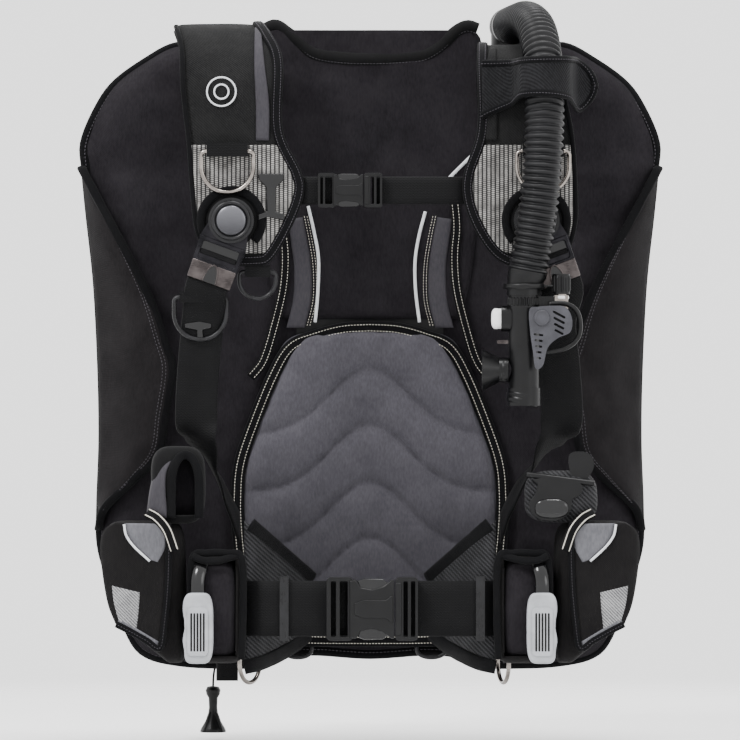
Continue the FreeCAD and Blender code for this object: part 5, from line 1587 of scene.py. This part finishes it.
def grip(name, side, body):
    """The ribbed pull handle and the black latch that it hangs from."""
    node = f"weight_handle_{name}"
    low, high = cad_box_mm(node)
    middle, half = (low.x + high.x) / 2, (high.x - low.x) / 2
    outline = []
    for k in range(72):
        angle = TURN * k / 72
        c, t = math.cos(angle), math.sin(angle)
        x = half * math.copysign(abs(c) ** 0.42, c)
        z = (high.z - low.z) / 2 * math.copysign(abs(t) ** 0.55, t)
        waist = 2.6 * math.exp(-((z - 3) / 10) ** 2) + 1.4 * math.exp(-((z + 20) / 7) ** 2)
        x -= side * waist if x * side > 0 else 0
        outline.append((middle + x, (low.z + high.z) / 2 + z))
    back, front = high.y, low.y
    body_mesh = slab("grip", outline, back, front + 1.6)
    whole = make(f"{node}_grip", body_mesh, "handle_plastic", body, smooth=False)
    bevelled(whole, 2.4, 4)
    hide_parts(node)
    raised = rounded_box_outline((middle - half * 0.66, middle + half * 0.66), (low.z + 7, high.z - 13), 4)
    slots = []
    for k in range(5):
        x = middle + half * 0.2 * (k - 2)
        slots.append(rounded_box_outline((x - 0.9, x + 0.9), (low.z + 11, high.z - 18), 0.85, 3))
    plate = make(f"{node}_ribs", slab("ribs", raised, front + 3, front + 0.3, slots), "handle_plastic", body,
                 smooth=False)
    bevelled(plate, 0.5, 2)
    dark = slab("ribs_ground", rounded_box_outline((middle - half * 0.5, middle + half * 0.5),
                                                   (low.z + 10, high.z - 17), 1), front + 3, front + 1.45)
    make(f"{node}_slots", dark, "buckle_plastic", body, smooth=False)
    arm = [Vector((middle - side * 4, back + 6, -206)), Vector((middle - side * 2, back - 1, -213)),
           Vector((middle, back - 5, -224)), Vector((middle, back - 6, -238))]
    latch = sweep("latch", spread(arm, 2.0), Vector((0, -1, 0.3)), [(6, -1.6), (6.4, 0), (5.4, 1.9), (0, 2.6),
                                                                 (-5.4, 1.9), (-6.4, 0), (-6, -1.6)])
    make(f"weight_latch_{name}", latch, "gloss_black", body)


def side_band(name, side):
    """The cummerbund's side: from the lumbar pad to the belt, with ribbed mesh between taped edges."""
    count = 40
    first = side_points(flip([(56, -222), (54, -250), (58, -276)], side), count)
    second = side_points(flip([(113, -170), (114, -240), (113, -299)], side), count)
    face = lambda x, z, u, v: lerp(-131.5, -274, ease(min(max((abs(x) - 50) / 62, 0), 1)) ** 0.8)
    mesh = panel(f"side_band_{name}", first, second, face, 4.5, across=26, round_in=0.08)
    skin = make(f"side_band_{name}", mesh, "mesh_cloth")
    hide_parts(f"cummerbund_{name}")
    depth = lambda x, z: face(x, z, 0, 0) - 1.0
    for label, line in (("upper", [(53, -227), (70, -210), (90, -190), (107, -174)]),
                        ("lower", [(56, -278), (74, -290), (94, -298), (113, -302)])):
        path = on_face(flip(line, side), depth, 3.0)
        binding(f"side_band_{name}_{label}_tape", path, Vector((0.35 * -side, -1, 0)), width=13.0)


def sleeve_right():
    """The arched sleeve above the right hip, with a grey outer face."""
    low, high = cad_box_mm("hip_sleeves", -1)
    front, back = low.y, high.y
    left, right = low.x + 21, high.x - 6
    middle, half = (left + right) / 2, (right - left) / 2
    spring, rise = high.z - 34, 26.0

    def open_front(x, y, z):
        over = max(0.0, (z - spring) / rise)
        return y < front + 9 and z > low.z + 3 and ((x - middle) / half) ** 2 + over ** 2 < 1

    hood = make("hip_sleeve_right_hood",
                bag_mesh("hood", (low.x + 1, high.x), (front, back), (low.z - 4, high.z), 0.55,
                                                  open_front), "neoprene")
    walled(hood, 2.0)
    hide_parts("hip_sleeves")
    arch = [Vector((left, 0, low.z + 2)), Vector((left, 0, lerp(low.z, spring, 0.6)))]
    arch += [Vector((middle + half * math.cos(a), 0, spring + rise * math.sin(a)))
             for a in [math.pi * (1 - k / 12) for k in range(13)]]
    arch += [Vector((right, 0, lerp(low.z, spring, 0.6))), Vector((right, 0, low.z + 2))]
    arch = [Vector((p.x, front - 0.6 + 5 * max(0, (p.z - spring) / rise) ** 3, p.z))
            for p in spread(arch, 2.5)]
    binding("hip_sleeve_right_tape", arch, FORWARD, width=8.0)
    outer = side_points([(low.x + 20, high.z - 3), (low.x + 9, high.z - 14), (low.x + 2, high.z - 36),
                         (low.x - 2, low.z + 2)], 24)
    inner = side_points([(low.x + 25, high.z - 9), (low.x + 17, high.z - 24), (low.x + 16, high.z - 40),
                         (low.x + 18, low.z + 2)], 24)
    cheek = panel("cheek", outer, inner, lambda x, z, u, v: front - 2.2 + 9 * (1 - u) ** 2 + 6 * (1 - v) ** 4,
                  3.0, across=8)
    make("hip_sleeve_right_cheek", cheek, "satin_strip")
    lining = bag_mesh("lining", (low.x + 3, high.x - 1), (front + 22, back + 34), (low.z - 4, high.z - 2),
                      0.6)
    make("hip_sleeve_right_lining", lining, "cell_cloth")


def sleeve_left():
    """The padded sleeve above the left hip and the thumb buckle that tightens the shoulder webbing."""
    low, high = cad_box_mm("hip_sleeves", 1)
    skin = bag_mesh("sleeve", (low.x, high.x + 2), (low.y - 1, high.y + 16), (low.z - 3, high.z), 0.6, seed=9)
    pad = make("hip_sleeve_left_pad", skin, "mesh_cloth")
    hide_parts("hip_sleeves")
    low, high = cad_box_mm("strap_adjuster")
    bar = [Vector((low.x + 2, low.y - 1, high.z - 1)), Vector((high.x - 2, low.y - 1, high.z - 9))]
    meshes = [sweep("bar", even(bar, 3.0), FORWARD, round_profile(2.6, 12))]
    lobe = [(146, -133), (150, -137), (148, -146), (143, -153), (144, -162), (152, -168.5), (164, -170),
            (174, -167), (180, -160), (181, -151), (188, -147), (190, -139), (184, -134), (165, -131)]
    lobe = [(p.x, p.z) for p in spread([(x, 0, z) for x, z in lobe], 2.0, closed=True)]
    plate = slab("plate", lobe, low.y + 3.5, low.y - 3.5)
    whole = make("strap_adjuster_thumb", join_meshes("strap_adjuster_thumb", [plate] + meshes),
                 "buckle_plastic",
                 "adjuster", smooth=False)
    bevelled(whole, 1.8, 4)
    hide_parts("strap_adjuster")
    knob = bag_mesh("knob", (147, 178), (low.y - 7.5, low.y), (-168, -150), 0.75, soft=0.2)
    make("strap_adjuster_pad", knob, "gloss_black", "adjuster")
    tab = [(178, -112), (190, -108), (199, -113), (200, -124), (192, -134), (182, -134)]
    tab = [(p.x, p.z) for p in spread([(x, 0, z) for x, z in tab], 2.0, closed=True)]
    make("strap_adjuster_tab", slab("tab", tab, low.y + 5, low.y + 2.5), "buckle_plastic", smooth=False)


for side_name, side in SIDES:
    pocket(side_name, side)
    pouch(side_name, side)
    side_band(side_name, side)
sleeve_right()
sleeve_left()


# ---- Hardware ------------------------------------------------------------------
NODE_FINISHES = {
    "backpack_plate": "plate_plastic", "cam_buckle_base": "buckle_plastic", "cam_lever": "buckle_plastic",
    "carry_handle": "webbing", "tank_band": "webbing", "swivel_posts": "ring_plastic",
    "swivel_frame_right": "gunmetal", "swivel_frame_left": "gunmetal", "retainer_clip": "gloss_black",
    "ring_loops": "webbing", "chest_ring_right": "steel", "chest_ring_left": "steel",
    "strap_ring": "ring_plastic",
    "pad_ring": "ring_plastic", "hem_ring_right": "steel", "hem_ring_left": "steel",
    "waist_slider_right": "ring_plastic", "waist_slider_left": "ring_plastic", "hose_elbow": "buckle_plastic",
    "hose_cuff": "buckle_plastic", "inflator_body": "inflator_plastic", "mouthpiece": "inflator_plastic",
    "deflate_button": "white_plastic", "inflate_lever": "grey_plastic", "inlet_nipple": "steel",
    "dust_cap": "buckle_plastic", "dump_valve": "buckle_plastic",
    "chest_socket": "buckle_plastic", "chest_plug": "buckle_plastic", "waist_socket": "buckle_plastic",
    "waist_plug": "buckle_plastic",
}


def repaint():
    for node, finish in NODE_FINISHES.items():
        target = frame["nodes"][node]
        if not target.material_slots:
            target.data.materials.append(None)
        for holder in target.material_slots:
            holder.material = material(finish)


SWIVEL_X, SWIVEL_Z = {"right": -125.0, "left": 150.0}, 99.5


def swivel_details(name, side):
    """The dome in the swivel's ring, and the rails, plate, web bar and thumb scoop on its frame."""
    centre_x = SWIVEL_X[name]
    low = cad_box_mm("swivel_posts")[0]
    ring = [(-0.2, 17.6), (1.4, 17.9), (2.6, 17.0), (2.8, 15.6), (1.2, 14.8), (1.2, 0.0)]
    make(f"swivel_ring_{name}", turned(f"swivel_ring_{name}", (centre_x, low.y, 99.5), FORWARD, ring, 64),
         "ring_plastic")
    dome = [(0.9, 13.6), (2.2, 13.4), (2.9, 12.4), (3.3, 9.0), (3.5, 4.0), (3.6, 0.0)]
    make(f"swivel_dome_{name}", turned(f"swivel_dome_{name}", (centre_x, low.y, 99.5), FORWARD, dome, 64),
         "satin_cap")
    body = f"swivel_{name}"
    tilt = 20.0 if side < 0 else -20.0
    centre = (centre_x, 99.5)
    place = lambda points: turned_about(points, centre, tilt)
    face = cad_box_mm(f"swivel_frame_{name}")[0].y
    at = lambda points: place([(centre_x + x, SWIVEL_Z + z) for x, z in points])
    window = at(rounded_box_outline((-17.5, 17.5), (-41, -24.5), 2.5))
    rails = slab("rails", at([(-21, -21), (21, -21), (20.8, -44), (-20.8, -44)]), face + 1, face - 1.8,
                 [window])
    bevelled(make(f"swivel_rails_{name}", rails, "gunmetal", body, smooth=False), 0.9, 3)
    lower = slab("plate", at([(-20.8, -43), (20.8, -43), (20.4, -60), (-20.4, -60)]), face + 1, face - 2.4)
    bevelled(make(f"swivel_plate_{name}", lower, "bronze", body, smooth=False), 1.2, 3)
    ground = slab("window", at(rounded_box_outline((-17.6, 17.6), (-41.5, -24), 1)), face + 4, face + 2.5)
    make(f"swivel_window_{name}", ground, "gloss_black", body, smooth=False)
    bar = slab("bar", at(rounded_box_outline((-17.5, 17.5), (-37, -32), 2)), face + 2.5, face - 0.6)
    bevelled(make(f"swivel_bar_{name}", bar, "webbing", body, smooth=False), 1.2)
    lobe = lambda half, rise: [(half * math.cos(math.pi * k / 20), -59.6 + rise * math.sin(math.pi * k / 20))
                               for k in range(21)]
    scoop = slab("scoop", at(lobe(5.6, 15.5)), face - 2.0, face - 3.2)
    make(f"swivel_scoop_{name}", scoop, "gloss_black", body, smooth=False)
    lip = sweep("lip", [Vector((x, face - 3.0, z)) for x, z in at(lobe(6.2, 16.4))], FORWARD,
                round_profile(0.8, 8))
    make(f"swivel_scoop_lip_{name}", lip, "bronze", body)


for side_name, side in SIDES:
    swivel_details(side_name, side)
repaint()
def knurled(name, centre, axis, radius, height, teeth, finish, body=ROOT, depth=1.1):
    """A short grip ring with teeth round it."""
    axis = Vector(axis).normalized()
    u = Vector((0, 1, 0)) if abs(axis.z) > 0.5 else Vector((0, 0, 1))
    v = axis.cross(u)
    points, faces = [], []
    sides = teeth * 4
    for along, size in ((0, 0.94), (0.12, 1.0), (0.88, 1.0), (1, 0.94)):
        for k in range(sides):
            r = (radius if k % 4 in (0, 1) else radius - depth) * size
            angle = TURN * k / sides
            points.append(Vector(centre) + axis * (height * along)
                          + (u * math.cos(angle) + v * math.sin(angle)) * r)
    for ring in range(3):
        for k in range(sides):
            m = (k + 1) % sides
            faces.append((ring * sides + k, ring * sides + m, (ring + 1) * sides + m, (ring + 1) * sides + k))
    faces += [tuple(range(sides)), tuple(3 * sides + k for k in range(sides))]
    return make(name, mesh_of(name, points, faces), finish, body, smooth=False)


def slanted_slot(x, z, length, width, degrees):
    return turned_about(rounded_box_outline((x - length / 2, x + length / 2), (z - width / 2, z + width / 2),
                                            width / 2 - 0.05, 4), (x, z), degrees)


def inflator_details():
    x, y = 138.0, -286.0
    make("inflator_collar", turned("inflator_collar", (x, y, 32), (0, 0, 1),
                                   [(0, 14.4), (0.8, 15.2), (3.2, 15.2), (4, 14.2), (5, 14.2), (5.8, 18.4),
                                    (9.6, 18.6), (10.4, 17.6)], 64), "buckle_plastic")
    knurled("inflator_grip_ring", (x, y, 22.5), (0, 0, 1), 14.9, 7.5, 26, "inflator_plastic")
    strap = [Vector((x + 12, y, 39.8)), Vector((x + 24, y, 40.2)), Vector((x + 33.5, y, 41))]
    make("dust_cap_strap", sweep("dust_cap_strap", spread(strap, 2.0), Vector((0, 0, 1)),
                                 [(4.2, -1), (4.4, 0.9), (-4.4, 0.9), (-4.2, -1)]), "buckle_plastic")
    low, high = cad_box_mm("dust_cap")
    cap_x, cap_y = (low.x + high.x) / 2, (low.y + high.y) / 2
    knurled("dust_cap_grip", (cap_x, cap_y, low.z + 2), (0, 0, 1), 8.7, high.z - low.z - 3.5, 12,
            "buckle_plastic",
            "cap", depth=1.3)
    make("inlet_band", turned("inlet_band", (cap_x, cap_y, low.z - 4.5), (0, 0, 1),
                              [(0, 6.4), (0.5, 6.8), (2.6, 6.8), (3.1, 6.3)], 40), "white_plastic")
    make("button_dome", bag_mesh("button_dome", (108.6, 118), (-291.6, -280.4), (1.4, 20.6), 0.72, soft=0.1),
         "white_plastic", "button")
    make("inlet_block", bag_mesh("inlet_block", (148, 178), (-294, -278), (3, 22), 0.35, soft=0.3),
         "inflator_plastic")
    outline = [(142.5, 19), (150, 21.5), (164, 22.5), (175, 21), (180.5, 11), (179, -1), (168, -6.5),
               (159, -15), (154.5, -31), (148, -33.5), (145.5, -18), (143, 0)]
    outline = [(p.x, p.z) for p in spread([(a, 0, b) for a, b in outline], 1.6, closed=True)]
    slots = [slanted_slot(169, 14.5 - 5.2 * k, 12.5 - 1.2 * k, 2.1, 28) for k in range(4)]
    slots += [slanted_slot(150.6 + 0.1 * k, -3.5 - 5.2 * k, 8.6 - 1.2 * k, 1.9, 8) for k in range(5)]
    low, high = cad_box_mm("inflate_lever")
    face = slab("lever", outline, high.y, low.y, slots)
    lever = bevelled(make("inflate_lever_face", face, "grey_plastic", "lever", smooth=False), 0.5, 2)
    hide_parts("inflate_lever")
    boss = [(0, 7.2), (1.2, 7.0), (1.8, 6.2), (1.4, 4.6), (1.9, 3.2), (1.9, 0)]
    make("lever_boss", turned("lever_boss", (153.6, low.y, 11.5), FORWARD, boss, 48), "grey_plastic", "lever")
    guard = [(160, 24), (174, 24.5), (184, 19), (188, 8), (186.5, -5), (178, -14), (165, -18), (150, -19)]
    path = spread([(a, -296.5, b) for a, b in guard], 2.0)
    make("lever_guard",
         sweep("lever_guard", path, FORWARD, [(2.0, -2.4), (2.3, 0), (1.6, 2.2), (-1.6, 2.2), (-2.3, 0),
                                                             (-2.0, -2.4)]), "buckle_plastic")
    tip = Vector((-0.18, 0, -1)).normalized()
    make("inflator_end_cap", turned("inflator_end_cap", (x, y, -55.5), tip,
                                    [(0, 14.3), (0.6, 15.0), (4, 15.0), (4.4, 14.2), (5.0, 14.9), (9.5, 14.6),
                                     (10.8, 13.4), (10.9, 0)], 56), "inflator_plastic")
    make("mouth_flange", turned("mouth_flange", (124.5, y, -35), (-1, 0, 0),
                                [(0, 10.5), (2, 11.2), (5.5, 11.2), (7.5, 10.0)], 56), "inflator_plastic")
    tab = slab("tab", rounded_box_outline((114, 124), (-11.5, -8.2), 1), -284, -286)
    make("inflator_tab", tab, "bronze", smooth=False)


def plate(name, outline, back, front, finish, body=ROOT, holes=(), width=0.8):
    flat = slab(name, outline, back, front, holes)
    return bevelled(make(name, flat, finish, body, smooth=False), width, 3)


def release_buckle(name, web, plug_body):
    """A side-release buckle: a socket with cut-away sides, and a plug whose two springs show in them."""
    low, high = cad_box_mm(f"{name}_socket")
    mid = (low.z + high.z) / 2
    half = (high.z - low.z) / 2
    # The lengths below are the waist buckle's, which is 57 mm tall.
    k = half / 28.5
    back, front = high.y, low.y
    x0, x1 = low.x, low.x + 61 * k if name == "waist" else high.x
    x2 = cad_box_mm(f"{name}_plug")[1].x
    bar = 0.34 * (x1 - x0)
    frame_outline = rounded_box_outline((x0, x0 + bar + 3 * k), (mid - half, mid + half), 4 * k)
    holes = [rounded_box_outline((x0 + 4 * k, x0 + 8.5 * k), (mid - web / 2, mid + web / 2), 1.2 * k),
             rounded_box_outline((x0 + 12 * k, x0 + bar - 1.5 * k), (mid - web / 2, mid + web / 2), 1.2 * k)]
    socket = plate(f"{name}_socket_frame", frame_outline, back, front + 2.5 * k, "buckle_plastic",
                   holes=holes)
    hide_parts(f"{name}_socket")
    xb = x0 + bar
    body = [(xb, half - 3 * k), (xb + 6 * k, half - 2 * k), (xb + 10 * k, half - 9 * k),
            (xb + 20 * k, half - 11 * k),
            (x1 - 10 * k, half - 8 * k), (x1 - 3 * k, half - 2 * k), (x1, half - 2.5 * k)]
    line = [(x, mid + z) for x, z in body] + [(x, mid - z) for x, z in reversed(body)]
    plate(f"{name}_socket_body", line, back - 0.5, front, "buckle_plastic", width=1.4 * k)
    raised = [(xb + 4 * k, 5 * k), (xb + 12 * k, 8 * k), (x1 - 8 * k, 8 * k), (x1 - 3 * k, 12 * k),
              (x1 - 1.5 * k, 12 * k)]
    line = [(x, mid + z) for x, z in raised] + [(x, mid - z) for x, z in reversed(raised)]
    plate(f"{name}_socket_ridge", line, front + 1, front - 1.5 * k, "buckle_plastic", width=0.7 * k)
    for label, up in (("upper", 1), ("lower", -1)):
        spring = [(xb + 7 * k, 25 * k), (xb + 13 * k, 27.5 * k), (x1 - 10 * k, 27 * k), (x1 - 5 * k, 22 * k),
                  (x1 - 8 * k, 18.5 * k), (xb + 18 * k, 16.5 * k), (xb + 9 * k, 19 * k)]
        line = [(x, mid + up * z) for x, z in spring]
        plate(f"{name}_plug_spring_{label}", line, back - 1.5 * k, front + 1.2 * k, "gloss_black", plug_body,
              width=1.2 * k)
    outline = rounded_box_outline((x1 + 0.6, x2), (mid - half, mid + half), 4 * k)
    span = x2 - x1
    holes = [rounded_box_outline((x1 + 0.38 * span, x1 + 0.56 * span), (mid - web / 2, mid + web / 2),
                                 1.0 * k),
             rounded_box_outline((x1 + 0.7 * span, x1 + 0.88 * span), (mid - web / 2, mid + web / 2),
                                 1.0 * k)]
    plug = plate(f"{name}_plug_frame", outline, back, front + 1.5 * k, "buckle_plastic", plug_body, holes)
    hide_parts(f"{name}_plug")
    plate(f"{name}_plug_shoulder",
          rounded_box_outline((x1 + 0.6, x1 + 0.3 * span), (mid - half + 5 * k, mid + half - 5 * k),
                                                       1.5 * k), back - 1, front, "buckle_plastic", plug_body)


def small_parts():
    clip = [(-101, 142), (-92, 139), (-77, 142), (-77, 137), (-85, 134), (-84.5, 112), (-78, 106), (-77, 100),
            (-101, 100), (-100, 106), (-93.5, 112), (-93, 134), (-101, 137)]
    outline = [(x, 242 - z) for x, z in clip]
    low, high = cad_box_mm("retainer_clip")
    piece = plate("retainer_clip_body", outline, high.y, low.y, "gloss_black", width=1.2)
    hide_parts("retainer_clip")
    small = [(-187, 9), (-174, 11), (-163, 9), (-163, 5), (-171, 3), (-170, -8), (-176, -8), (-176, 3),
             (-187, 5)]
    plate("webbing_clip", [(x + 20, z - 2) for x, z in small], -246.6, -251, "gloss_black", width=0.9)
    tab = [Vector((-131, -150, z)) for z in (-296, -304, -312, -320)]
    make("hem_tab", sweep("hem_tab", spread(tab, 2.0), FORWARD, strap_profile(20, 4)), "webbing")
    for label, x, wide in (("right", -66.5, 27), ("left", 56.5, 28)):
        bow = [(x - wide / 2, -289), (x - wide / 2 + 2, -296), (x - 5, -299.5), (x + 5, -299.5),
               (x + wide / 2 - 2, -296), (x + wide / 2, -289)]
        path = spread([(a, -122, b) for a, b in bow], 2.0)
        make(f"pad_lower_ring_{label}",
             sweep(f"pad_lower_ring_{label}", path, FORWARD, round_profile(1.9, 12)),
             "ring_plastic")


inflator_details()
release_buckle("waist", 50.0, "waist_plug_body")
release_buckle("chest", 25.0, "chest_plug_body")
small_parts()
